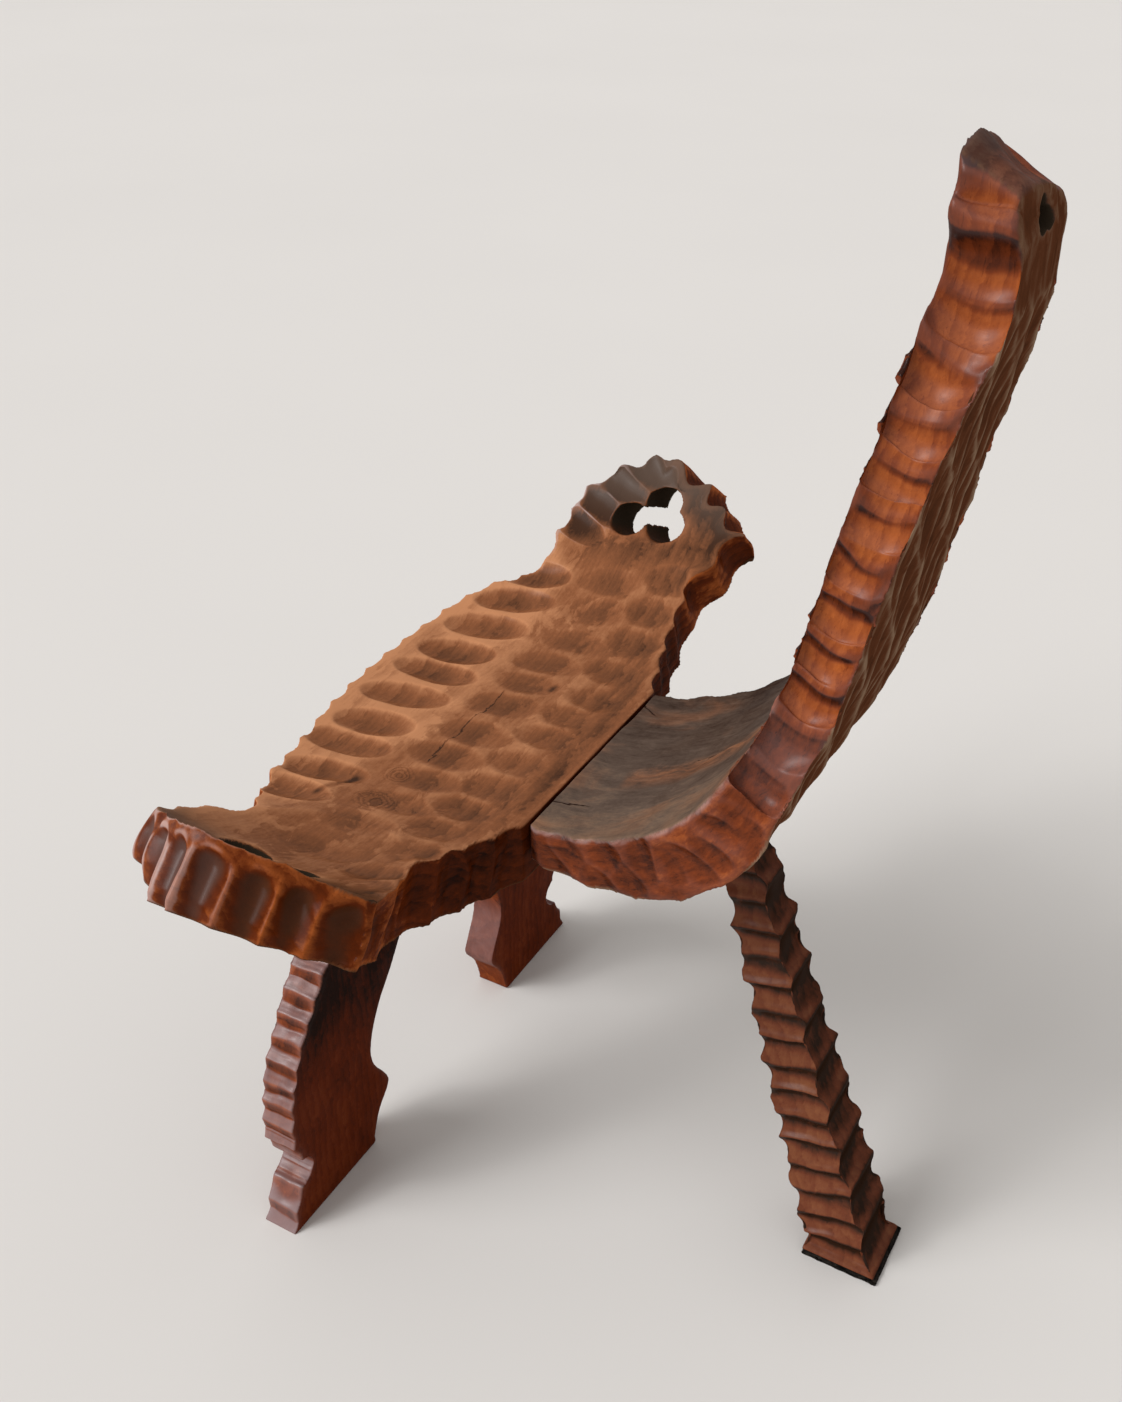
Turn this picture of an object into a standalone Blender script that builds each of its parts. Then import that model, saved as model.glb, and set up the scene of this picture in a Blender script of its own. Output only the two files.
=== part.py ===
"""Carved three-legged chair: a saddle seat, a bent back plank and scalloped legs.

Metres, +Z up. The sitter faces -Y and the sitter's left is +X. While the pieces are made,
Y is zero on the joint between seat and back and Z is zero on the floor. At the end the whole
chair is moved so that its origin is the bottom centre of its box.
"""
import math

import bmesh
import bpy
import numpy as np
from mathutils import Vector

CHAIR = "carved_three_legged_chair"

# Clearance between pieces that touch, and at the closed end of a dowel hole
CLEARANCE = 0.0003
HOLE_END_ROOM = 0.0006

# Seat plank: reaches run along its curled top, depths run forward from the joint
SEAT_HEIGHT = 0.320
SEAT_THICKNESS = 0.040
SEAT_LEVEL_HALF = 0.060
SEAT_CURL_RADIUS = 0.252
SEAT_DEPTH = 0.176
SHOULDER_REACH = 0.105
SHOULDER_DEPTH_LEFT = 0.156
SHOULDER_DEPTH_RIGHT = 0.172
HEAD_TIP_REACH = 0.271
HEAD_TIP_DEPTH = 0.076
NECK_REACH = HEAD_TIP_REACH - 0.100
NECK_FRONT_LEFT = 0.123
NECK_FRONT_RIGHT = 0.130
NECK_BACK = 0.0195
NECK_BACK_REACH = HEAD_TIP_REACH - 0.108
HEAD_FLANK_REACH = HEAD_TIP_REACH - 0.078
HEAD_SHOULDER_REACH = HEAD_TIP_REACH - 0.014
HEAD_FRONT_REACH = HEAD_TIP_REACH - 0.035
HEAD_FRONT = 0.135
HEAD_BACK_REACH = HEAD_TIP_REACH - 0.045
HEAD_BEHIND = 0.003
CORNER_EASE = 0.003
BACK_EDGE_SHARE = 0.62
HEAD_THICKNESS_LEFT = 0.042
HEAD_THICKNESS_RIGHT = 0.030
HEAD_THICK_FROM = 0.130
HEAD_THICK_TO = 0.200
CORNER_THINNING = 0.30
CORNER_THIN_FROM = 0.095
SEAT_SCALLOP_PITCH = 0.0215
SEAT_SCALLOP_DEPTH = 0.0032

# Back plank: heights run along its bent front face, from the joint
JOINT_HALF_WIDTH = 0.080
BEND_HALF_WIDTH = 0.093
FLANK_HALF_WIDTH = 0.077
WAIST_HALF_WIDTH = 0.0695
TAPER_HALF_WIDTH = 0.060
NECK_HALF_WIDTH = 0.0355
CROWN_HALF_WIDTH = 0.0395
SHOULDER_HALF_WIDTH = 0.032
BEND_WIDE_FROM = 0.115
BEND_WIDE_TO = 0.155
FLANK_AT = 0.200
WAIST_AT = 0.290
TAPER_AT = 0.345
NECK_AT = 0.405
CROWN_AT = 0.425
SHOULDER_AT = 0.449
BACK_LENGTH = 0.453
CROWN_DROP = 0.013
CROWN_BEVEL = 0.016
JOINT_THICKNESS = 0.026
BEND_THICKNESS = 0.043
BACK_THICKNESS = 0.032
CROWN_THICKNESS = 0.025
BEND_THICK_FROM = 0.080
BEND_THICK_TO = 0.110
BACK_THICK_FROM = 0.175
JOINT_SLOPE = math.radians(4.0)
BEND_SLOPE = math.radians(58.0)
BACK_SLOPE = math.radians(78.2)
CROWN_SLOPE = math.radians(91.0)
LOW_BEND_RADIUS = 0.143
HIGH_BEND_RADIUS = 0.212
CROWN_BEND_RADIUS = 0.160
CROWN_BEND_AT = 0.385
SAW_ALLOWANCE = 0.015
BACK_SCALLOP_PITCH = 0.024
BACK_SCALLOP_DEPTH = 0.0028

# Trefoil finger holes: three round lobes, each placed outward and sideways of a centre
SEAT_TREFOIL_LOBE = 0.0145
SEAT_TREFOIL_LOBES = ((0.0105, 0.0040), (-0.0060, -0.0175), (-0.0040, 0.0135))
SEAT_TREFOIL_REACH = HEAD_TIP_REACH - 0.0524
SEAT_TREFOIL_DEPTH = 0.0695
BACK_TREFOIL_LOBE = 0.0062
BACK_TREFOIL_LOBES = ((0.0060, 0.0000), (-0.0030, -0.0052), (-0.0030, 0.0052))
BACK_TREFOIL_AT = 0.420

# Front legs: two profiled boards that meet on the centre line under the seat
LEG_SETBACK = 0.121
LEG_THICKNESS = 0.026
FOOT_INNER = 0.088
FOOT_OUTER = 0.178
NOTCH_REACH = 0.152
NOTCH_HEIGHT = 0.044
KNEE_REACH = 0.167
KNEE_HEIGHT = 0.090
LEG_TOP_HALF = 0.098
LEG_WAIST_HEIGHT = 0.245
SPUR_REACH = 0.068
SPUR_HEIGHT = 0.042
ARCH_REACH = 0.082
ARCH_SPRING = 0.086
SEAM_LENGTH = 0.078
ARCH_HEIGHT = SEAT_HEIGHT - SEAT_THICKNESS - SEAM_LENGTH
FOOT_LEAN_SHARE = 0.65
FOOT_LEAN_HEIGHT = 0.60
KNEE_EASE = 0.001
KNEE_TO_WAIST = ((0.91, 0.20), (0.77, 0.35), (0.52, 0.52), (0.20, 0.72), (0.0, 1.0))
ARCH_SIDE = ((0.24, 0.87), (0.47, 0.66), (0.64, 0.46), (0.85, 0.28), (0.98, 0.10))
ARCH_LIP = 0.010
SPUR_NOSE = 0.003
SPUR_NOSE_HEIGHT = 0.011
SPUR_HEEL_SHARE = 0.60
SPUR_HEEL_HEIGHT = 0.57
LEG_SCALLOP_PITCH = 0.0155
LEG_SCALLOP_DEPTH = 0.0022

# Rear leg and its pad: level sections of a leaning, tapering post
REAR_FOOT_WIDTH = 0.049
REAR_TOP_WIDTH = 0.029
REAR_FOOT_BEHIND = 0.197
REAR_LEG_SHEAR = 0.335
PAD_THICKNESS = 0.0025
PAD_MARGIN = 0.0008
REAR_SIDE_PITCH = 0.0187
REAR_SIDE_DEPTH = 0.0022
REAR_FACE_PITCH = 0.0300
REAR_FACE_DEPTH = 0.0026

# Dowels
JOINT_DOWEL_DIAMETER = 0.010
JOINT_DOWEL_LENGTH = 0.060
JOINT_DOWEL_SPACING = 0.052
LEG_DOWEL_DIAMETER = 0.010
LEG_DOWEL_LENGTH = 0.044
LEG_DOWEL_INNER = 0.030
LEG_DOWEL_OUTER = 0.074
SEAM_DOWEL_DIAMETER = 0.008
SEAM_DOWEL_LENGTH = 0.044
SEAM_DOWEL_ABOVE_ARCH = 0.015
SEAM_DOWEL_SPACING = 0.026
REAR_DOWEL_DIAMETER = 0.007
REAR_DOWEL_LENGTH = 0.040
REAR_DOWEL_SPACING = 0.012

# Fineness of the solids
SCALLOP_STEPS = 6
ARCH_STEPS = 48
TREFOIL_STEPS = 48
SEAT_SLICE = 0.0125
BACK_SLICE = 0.0125
ROUND_SIDES = 20
WELD = 0.00001
FLAT_ANGLE = 0.0005
CUTTER_ROOM = 0.060

WALNUT_TOP = (0.200, 0.085, 0.032)
WALNUT_EDGE = (0.150, 0.045, 0.018)
WALNUT_DARK = (0.085, 0.030, 0.014)
DOWEL_WOOD = (0.450, 0.300, 0.160)
PAD_BLACK = (0.012, 0.012, 0.012)


def clear_scene():
    """Remove what the scene holds."""
    for thing in list(bpy.data.objects):
        bpy.data.objects.remove(thing, do_unlink=True)


def new_collection(name):
    """A collection linked to the scene."""
    group = bpy.data.collections.new(name)
    bpy.context.scene.collection.children.link(group)
    return group


def finish(name, colour, roughness):
    """A plain material for one piece."""
    material = bpy.data.materials.new(name)
    material.use_nodes = True
    shader = material.node_tree.nodes["Principled BSDF"]
    shader.inputs["Base Color"].default_value = (*colour, 1.0)
    shader.inputs["Roughness"].default_value = roughness
    shader.inputs["Metallic"].default_value = 0.0
    return material


def smooth_line(points, count):
    """Evenly spaced points on a Catmull-Rom curve through the given points."""
    knots = np.array(points, dtype=float)
    before = 2.0 * knots[0] - knots[1]
    after = 2.0 * knots[-1] - knots[-2]
    knots = np.vstack([before, knots, after])
    share = np.linspace(0.0, 1.0, 24, endpoint=False)[:, None]
    pieces = []
    for a, b, c, d in zip(knots, knots[1:], knots[2:], knots[3:]):
        linear = c - a
        square = 2.0 * a - 5.0 * b + 4.0 * c - d
        cube = 3.0 * b - a - 3.0 * c + d
        pieces.append(0.5 * (2.0 * b + linear * share + square * share**2 + cube * share**3))
    dense = np.vstack(pieces + [knots[-2:-1]])
    travel = np.concatenate([[0.0], np.cumsum(np.linalg.norm(np.diff(dense, axis=0), axis=1))])
    marks = np.linspace(0.0, travel[-1], count + 1)
    return np.column_stack([np.interp(marks, travel, dense[:, axis]) for axis in (0, 1)])


def line_length(points):
    """Length of the smooth curve through the given points."""
    fine = smooth_line(points, 200)
    return float(np.linalg.norm(np.diff(fine, axis=0), axis=1).sum())


def scalloped(points, pitch, depth):
    """An edge through the points with round hollows cut into its left-hand side."""
    hollows = max(1, round(line_length(points) / pitch))
    edge = smooth_line(points, hollows * SCALLOP_STEPS)
    along = np.gradient(edge, axis=0)
    along /= np.linalg.norm(along, axis=1)[:, None]
    inward = np.column_stack([-along[:, 1], along[:, 0]])
    phase = (np.arange(len(edge)) % SCALLOP_STEPS) / SCALLOP_STEPS
    carved = edge + inward * (depth * np.sin(np.pi * phase))[:, None]
    return [tuple(point) for point in carved[:-1]]


def plain(points, count):
    """A smooth edge through the points without hollows."""
    return [tuple(point) for point in smooth_line(points, count)[:-1]]


def mirrored(points):
    """The same edge on the other side of the centre line, walked the other way."""
    return [(-u, v) for u, v in reversed(points)]


def solid_from_loop(name, loop, place, group, slices=(), slice_axis=0):
    """A closed mesh: the flat loop with one unit of depth, sliced, then placed point by point."""
    curve = bpy.data.curves.new(name + "_outline", "CURVE")
    curve.dimensions = "2D"
    curve.fill_mode = "BOTH"
    curve.extrude = 0.5
    spline = curve.splines.new("POLY")
    spline.points.add(len(loop) - 1)
    for knot, (u, v) in zip(spline.points, loop):
        knot.co = (u, v, 0.0, 1.0)
    spline.use_cyclic_u = True
    outline = bpy.data.objects.new(name + "_outline", curve)
    bpy.context.scene.collection.objects.link(outline)
    outline_now = outline.evaluated_get(bpy.context.evaluated_depsgraph_get())
    mesh = bpy.data.meshes.new_from_object(outline_now)
    bpy.data.objects.remove(outline, do_unlink=True)
    work = bmesh.new()
    work.from_mesh(mesh)
    bmesh.ops.remove_doubles(work, verts=work.verts, dist=WELD)
    bmesh.ops.dissolve_limit(work, angle_limit=FLAT_ANGLE, verts=work.verts, edges=work.edges)
    across = Vector((1.0, 0.0, 0.0)) if slice_axis == 0 else Vector((0.0, 1.0, 0.0))
    for mark in slices:
        whole = work.verts[:] + work.edges[:] + work.faces[:]
        bmesh.ops.bisect_plane(work, geom=whole, dist=WELD, plane_co=across * mark, plane_no=across)
    bmesh.ops.triangulate(work, faces=work.faces)
    for vert in work.verts:
        vert.co = place(vert.co.x, vert.co.y, vert.co.z - 0.5)
    bmesh.ops.recalc_face_normals(work, faces=work.faces)
    if work.calc_volume(signed=True) < 0.0:
        bmesh.ops.reverse_faces(work, faces=work.faces)
    return add_object(name, work, mesh, group)


def add_object(name, work, mesh, group):
    """Write the worked mesh and put its object in the group."""
    work.to_mesh(mesh)
    work.free()
    mesh.name = name
    mesh.materials.clear()
    thing = bpy.data.objects.new(name, mesh)
    group.objects.link(thing)
    return thing


def mark_cutter(thing):
    """Show a cutter as wire only."""
    thing.hide_render = True
    thing.display_type = "WIRE"
    return thing


def cut(piece, cutter):
    """Take the cutter's shape out of the piece."""
    modifier = piece.modifiers.new(cutter.name, "BOOLEAN")
    modifier.operation = "DIFFERENCE"
    modifier.solver = "EXACT"
    modifier.object = cutter


def slice_marks(low, high, step):
    """Slice positions inside a span."""
    count = max(1, round((high - low) / step))
    return [low + (high - low) * index / count for index in range(1, count)]


def eased(share):
    """A share between nought and one with a soft start and end."""
    share = min(max(share, 0.0), 1.0)
    return share * share * (3.0 - 2.0 * share)


def seat_point(s, y, t):
    """A point of the seat plank: s along its top, y across it, t above its top face."""
    turn = max(abs(s) - SEAT_LEVEL_HALF, 0.0) / SEAT_CURL_RADIUS
    level = min(abs(s), SEAT_LEVEL_HALF)
    x = level + (SEAT_CURL_RADIUS - t) * math.sin(turn)
    z = SEAT_CURL_RADIUS - (SEAT_CURL_RADIUS - t) * math.cos(turn)
    return Vector((math.copysign(x, s), y, SEAT_HEIGHT + z))


def seat_thickness(s, y):
    """Thickness of the seat plank: even under the sitter, its own in each head, less at the front corners."""
    into_head = (abs(s) - HEAD_THICK_FROM) / (HEAD_THICK_TO - HEAD_THICK_FROM)
    head = HEAD_THICKNESS_LEFT if s > 0.0 else HEAD_THICKNESS_RIGHT
    thickness = SEAT_THICKNESS + (head - SEAT_THICKNESS) * eased(into_head)
    into_corner = (-y - CORNER_THIN_FROM) / (HEAD_FRONT - CORNER_THIN_FROM)
    return thickness * (1.0 - CORNER_THINNING * eased(into_head) * eased(into_corner))


def back_arcs():
    """Length, first slope and last slope of each arc of the back plank, from the joint up."""
    low = LOW_BEND_RADIUS * (BEND_SLOPE - JOINT_SLOPE)
    high = HIGH_BEND_RADIUS * (BACK_SLOPE - BEND_SLOPE)
    straight = max(CROWN_BEND_AT - low - high, CLEARANCE)
    crown = CROWN_BEND_RADIUS * (CROWN_SLOPE - BACK_SLOPE)
    return ((low, JOINT_SLOPE, BEND_SLOPE), (high, BEND_SLOPE, BACK_SLOPE), (straight, BACK_SLOPE, BACK_SLOPE),
            (crown, BACK_SLOPE, CROWN_SLOPE), (BACK_LENGTH, CROWN_SLOPE, CROWN_SLOPE))


def arc_step(length, first, last):
    """Move in Y and Z along an arc that turns from one slope to another."""
    turn = last - first
    if abs(turn) < FLAT_ANGLE:
        return length * math.cos(first), length * math.sin(first)
    radius = length / turn
    return radius * (math.sin(last) - math.sin(first)), radius * (math.cos(first) - math.cos(last))


def back_line(s):
    """Place and slope of the back plank's front face at a distance from the joint."""
    y, z = 0.0, SEAT_HEIGHT
    for length, first, last in back_arcs():
        walked = min(s, length)
        slope = first + (last - first) * walked / length
        move_y, move_z = arc_step(walked, first, slope)
        y += move_y
        z += move_z
        s -= length
        if s <= 0.0:
            break
    return y, z, slope


def back_thickness(s):
    """Thickness of the back plank: thin at the joint, stout in the bend, thinner up to the crown."""
    growth = min(max(s / BEND_THICK_FROM, 0.0), 1.0)
    thickness = JOINT_THICKNESS + (BEND_THICKNESS - JOINT_THICKNESS) * growth
    thinning = eased((s - BEND_THICK_TO) / (BACK_THICK_FROM - BEND_THICK_TO))
    thickness += (BACK_THICKNESS - BEND_THICKNESS) * thinning
    topping = eased((s - CROWN_BEND_AT) / (BACK_LENGTH - CROWN_BEND_AT))
    return thickness + (CROWN_THICKNESS - BACK_THICKNESS) * topping


def back_point(x, s, t):
    """A point of the back plank: x across it, s along it, t above its front face."""
    y, z, slope = back_line(s)
    return Vector((x, y - math.sin(slope) * t, z + math.cos(slope) * t))


def trefoil_loop(lobe, places):
    """The outline of overlapping round lobes about a centre that they cover."""
    loop = []
    for index in range(TREFOIL_STEPS):
        angle = 2.0 * math.pi * index / TREFOIL_STEPS
        radius = 0.0
        for u, v in places:
            ahead = u * math.cos(angle) + v * math.sin(angle)
            aside = v * math.cos(angle) - u * math.sin(angle)
            if abs(aside) < lobe:
                radius = max(radius, ahead + math.sqrt(lobe**2 - aside**2))
        loop.append((radius * math.cos(angle), radius * math.sin(angle)))
    return loop


def seat_loop():
    """The seat plank's outline, unrolled: along the plank, and back from its front."""
    joint = (JOINT_HALF_WIDTH, 0.0)
    neck_back = (NECK_BACK_REACH, -NECK_BACK)
    back_corner = (HEAD_BACK_REACH, HEAD_BEHIND)
    front_corner = (HEAD_FRONT_REACH, CORNER_EASE - HEAD_FRONT)
    tip = (HEAD_TIP_REACH, -HEAD_TIP_DEPTH)

    def flank(neck_front):
        return [(NECK_REACH, -neck_front), (HEAD_FLANK_REACH, -HEAD_FRONT), front_corner]

    end = [front_corner, (HEAD_SHOULDER_REACH, -0.5 * (HEAD_TIP_DEPTH + HEAD_FRONT)), tip,
           (HEAD_SHOULDER_REACH, -0.5 * (HEAD_TIP_DEPTH - HEAD_BEHIND)), back_corner]
    back_flank = [back_corner, (HEAD_FLANK_REACH, -0.5 * (NECK_BACK - HEAD_BEHIND)), neck_back]
    back_edge = [neck_back, (0.5 * (NECK_BACK_REACH + JOINT_HALF_WIDTH), -BACK_EDGE_SHARE * NECK_BACK), joint]
    front = [(-NECK_REACH, -NECK_FRONT_RIGHT), (-SHOULDER_REACH, -SHOULDER_DEPTH_RIGHT),
             (0.0, -SEAT_DEPTH), (SHOULDER_REACH, -SHOULDER_DEPTH_LEFT),
             (NECK_REACH, -NECK_FRONT_LEFT)]
    loop = []
    edges = [front, flank(NECK_FRONT_LEFT), end, back_flank, back_edge]
    edges += [[joint, mirrored([joint])[0]]]
    edges += [mirrored(edge) for edge in (back_edge, back_flank, end, flank(NECK_FRONT_RIGHT))]
    for edge in edges:
        straight = len(edge) == 2
        loop += plain(edge, 1) if straight else scalloped(edge, SEAT_SCALLOP_PITCH, SEAT_SCALLOP_DEPTH)
    return loop


def back_loop():
    """The back plank's outline, unrolled: across it, and along it from the joint."""
    low_corner = (JOINT_HALF_WIDTH, -SAW_ALLOWANCE)
    bend_top = (BEND_HALF_WIDTH, BEND_WIDE_TO)
    neck = (NECK_HALF_WIDTH, NECK_AT)
    bend = [low_corner, (JOINT_HALF_WIDTH, 0.0), (BEND_HALF_WIDTH, BEND_WIDE_FROM), bend_top]
    side = [bend_top, (FLANK_HALF_WIDTH, FLANK_AT), (WAIST_HALF_WIDTH, WAIST_AT),
            (TAPER_HALF_WIDTH, TAPER_AT),
            (0.5 * (TAPER_HALF_WIDTH + NECK_HALF_WIDTH), 0.5 * (TAPER_AT + NECK_AT)), neck]
    shoulder = [neck, (CROWN_HALF_WIDTH, CROWN_AT), (SHOULDER_HALF_WIDTH, SHOULDER_AT)]
    low_shoulder = [neck, (CROWN_HALF_WIDTH, CROWN_AT - 0.4 * CROWN_DROP),
                    (SHOULDER_HALF_WIDTH, SHOULDER_AT - CROWN_DROP)]
    top = [shoulder[-1], (0.0, BACK_LENGTH), mirrored(low_shoulder)[0]]
    loop = plain([mirrored([low_corner])[0], low_corner], 1)
    for edge in (bend, side, shoulder, top, mirrored(low_shoulder), mirrored(side), mirrored(bend)):
        loop += scalloped(edge, BACK_SCALLOP_PITCH, BACK_SCALLOP_DEPTH)
    return loop


def front_leg_loop():
    """A front leg's outline: out from the centre line, and up from the floor."""
    seam = 0.5 * CLEARANCE
    top = SEAT_HEIGHT
    notch = (NOTCH_REACH, NOTCH_HEIGHT)
    lean = NOTCH_REACH + (FOOT_OUTER - NOTCH_REACH) * FOOT_LEAN_SHARE
    block = [(FOOT_OUTER, 0.0), (lean, FOOT_LEAN_HEIGHT * NOTCH_HEIGHT), notch]
    outer = [notch, (KNEE_REACH - KNEE_EASE, 0.5 * (NOTCH_HEIGHT + KNEE_HEIGHT)), (KNEE_REACH, KNEE_HEIGHT)]
    rise = LEG_WAIST_HEIGHT - KNEE_HEIGHT
    for share, height in KNEE_TO_WAIST:
        outer.append((LEG_TOP_HALF + (KNEE_REACH - LEG_TOP_HALF) * share, KNEE_HEIGHT + rise * height))
    outer.append((LEG_TOP_HALF, top))
    inner = [(seam, ARCH_HEIGHT)]
    for share, height in ARCH_SIDE:
        inner.append((ARCH_REACH * share, ARCH_SPRING + (ARCH_HEIGHT - ARCH_SPRING) * height))
    heel = SPUR_REACH + (FOOT_INNER - SPUR_REACH) * SPUR_HEEL_SHARE
    inner += [(ARCH_REACH, ARCH_SPRING - ARCH_LIP), (SPUR_REACH + SPUR_NOSE, SPUR_HEIGHT + SPUR_NOSE_HEIGHT),
              (SPUR_REACH, SPUR_HEIGHT), (heel, SPUR_HEEL_HEIGHT * SPUR_HEIGHT), (FOOT_INNER, 0.0)]
    loop = scalloped(block, LEG_SCALLOP_PITCH, LEG_SCALLOP_DEPTH)
    loop += scalloped(outer, LEG_SCALLOP_PITCH, LEG_SCALLOP_DEPTH)
    loop += [(LEG_TOP_HALF, top), (seam, top)]
    loop += plain(inner, ARCH_STEPS) + [(FOOT_INNER, 0.0)]
    return loop


def cylinder(name, start, end, diameter, group):
    """A round bar between two points."""
    axis = end - start
    bpy.ops.mesh.primitive_cylinder_add(vertices=ROUND_SIDES, radius=0.5 * diameter, depth=axis.length)
    bar = bpy.context.object
    bar.name = name
    bar.data.name = name
    bar.location = 0.5 * (start + end)
    bar.rotation_euler = axis.to_track_quat("Z", "X").to_euler()
    for owner in list(bar.users_collection):
        owner.objects.unlink(bar)
    group.objects.link(bar)
    bar.data.shade_smooth()
    bar.data.set_sharp_from_angle(angle=math.radians(40.0))
    return bar


def dowel(name, middle, direction, diameter, length, parts, cutters, pieces):
    """A dowel and the hole for it in each of the pieces that it joins."""
    half = direction.normalized() * (0.5 * length)
    end_room = direction.normalized() * HOLE_END_ROOM
    bar = cylinder(name, middle - half, middle + half, diameter, parts)
    bar.data.materials.append(finish(name, DOWEL_WOOD, 0.7))
    hole = cylinder(name + "_hole", middle - half - end_room, middle + half + end_room,
                    diameter + 2.0 * CLEARANCE, cutters)
    mark_cutter(hole)
    for piece in pieces:
        cut(piece, hole)


def build_seat(parts, cutters):
    """The saddle seat with a trefoil hole in each head."""
    def place(s, y, t):
        return seat_point(s, y, t * seat_thickness(s, y))

    marks = slice_marks(-HEAD_TIP_REACH, HEAD_TIP_REACH, SEAT_SLICE)
    seat = solid_from_loop("seat_plank", seat_loop(), place, parts, marks, 0)
    seat.data.materials.append(finish("seat_plank", WALNUT_TOP, 0.45))
    for side, name in ((1.0, "left"), (-1.0, "right")):
        cut(seat, seat_trefoil(side, name, cutters))
    return seat


def seat_trefoil(side, name, cutters):
    """A cutter square to one head, with a lobe pointing to the head's tip."""
    centre = seat_point(side * SEAT_TREFOIL_REACH, -SEAT_TREFOIL_DEPTH, 0.0)
    turn = (SEAT_TREFOIL_REACH - SEAT_LEVEL_HALF) / SEAT_CURL_RADIUS
    outward = Vector((side * math.cos(turn), 0.0, math.sin(turn)))
    upward = Vector((-side * math.sin(turn), 0.0, math.cos(turn)))
    backward = Vector((0.0, 1.0, 0.0))

    def place(u, v, t):
        return centre + outward * u + backward * v + upward * (2.0 * t + 1.0) * CUTTER_ROOM

    loop = trefoil_loop(SEAT_TREFOIL_LOBE, SEAT_TREFOIL_LOBES)
    return mark_cutter(solid_from_loop("seat_trefoil_" + name, loop, place, cutters))


def build_back(parts, cutters):
    """The bent back plank, sawn square at the joint, with a trefoil hole in its crown."""
    def place(x, s, t):
        bevel = eased((s - NECK_AT) / (BACK_LENGTH - NECK_AT)) * CROWN_BEVEL
        return back_point(x, s + t * bevel, t * back_thickness(s))

    marks = slice_marks(-SAW_ALLOWANCE, BACK_LENGTH, BACK_SLICE)
    back = solid_from_loop("back_plank", back_loop(), place, parts, marks, 1)
    back.data.materials.append(finish("back_plank", WALNUT_EDGE, 0.45))
    saw_off(back, CLEARANCE)
    cut(back, back_trefoil(cutters))
    return back


def saw_off(piece, plane_y):
    """Cut away what lies in front of a plane across Y and close the cut."""
    work = bmesh.new()
    work.from_mesh(piece.data)
    whole = work.verts[:] + work.edges[:] + work.faces[:]
    bmesh.ops.bisect_plane(work, geom=whole, dist=WELD, plane_co=(0.0, plane_y, 0.0),
                           plane_no=(0.0, 1.0, 0.0), clear_inner=True)
    rim = [edge for edge in work.edges if edge.is_boundary]
    bmesh.ops.edgeloop_fill(work, edges=rim)
    bmesh.ops.recalc_face_normals(work, faces=work.faces)
    work.to_mesh(piece.data)
    work.free()


def back_trefoil(cutters):
    """A cutter square to the crown of the back, with a lobe pointing up."""
    y, z, slope = back_line(BACK_TREFOIL_AT)
    centre = Vector((0.0, y, z))
    upward = Vector((0.0, math.cos(slope), math.sin(slope)))
    forward = Vector((0.0, -math.sin(slope), math.cos(slope)))
    sideways = Vector((1.0, 0.0, 0.0))

    def place(u, v, t):
        return centre + upward * u + sideways * v + forward * (2.0 * t + 1.0) * CUTTER_ROOM

    loop = trefoil_loop(BACK_TREFOIL_LOBE, BACK_TREFOIL_LOBES)
    return mark_cutter(solid_from_loop("back_trefoil", loop, place, cutters))


def seat_underside_cutter(cutters):
    """The space that the seat takes, with its clearance, above the tops of the front legs."""
    reach = HEAD_FRONT_REACH
    loop = [(-reach, -SEAT_DEPTH - CUTTER_ROOM), (reach, -SEAT_DEPTH - CUTTER_ROOM), (reach, 0.0), (-reach, 0.0)]

    def place(s, y, t):
        below = SEAT_THICKNESS + CLEARANCE
        return seat_point(s, y, CUTTER_ROOM + t * (below + CUTTER_ROOM))

    marks = slice_marks(-reach, reach, SEAT_SLICE)
    return mark_cutter(solid_from_loop("seat_underside", loop, place, cutters, marks, 0))


def back_underside_cutter(cutters):
    """The space that the back plank takes, with its clearance, above the rear leg's top."""
    reach = JOINT_HALF_WIDTH
    loop = [(-reach, 0.0), (reach, 0.0), (reach, WAIST_AT), (-reach, WAIST_AT)]

    def place(x, s, t):
        below = back_thickness(s) + CLEARANCE
        return back_point(x, s, CUTTER_ROOM + t * (below + CUTTER_ROOM))

    marks = slice_marks(0.0, WAIST_AT, BACK_SLICE)
    return mark_cutter(solid_from_loop("back_underside", loop, place, cutters, marks, 1))


def build_front_leg(name, side, underside, parts):
    """One profiled board, its top fitted to the underside of the seat."""
    def place(u, z, t):
        return Vector((side * u, t * LEG_THICKNESS - LEG_SETBACK, z))

    leg = solid_from_loop(name, front_leg_loop(), place, parts)
    leg.data.materials.append(finish(name, WALNUT_DARK, 0.4))
    cut(leg, underside)
    return leg


def rear_leg_middle(z):
    """Centre of the rear leg's level section at a height."""
    return Vector((0.0, REAR_FOOT_BEHIND - REAR_LEG_SHEAR * z, z))


def hollow(distance, pitch, depth):
    """Depth of a row of round hollows at a distance along it."""
    return depth * math.sin(math.pi * ((distance / pitch) % 1.0))


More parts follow.
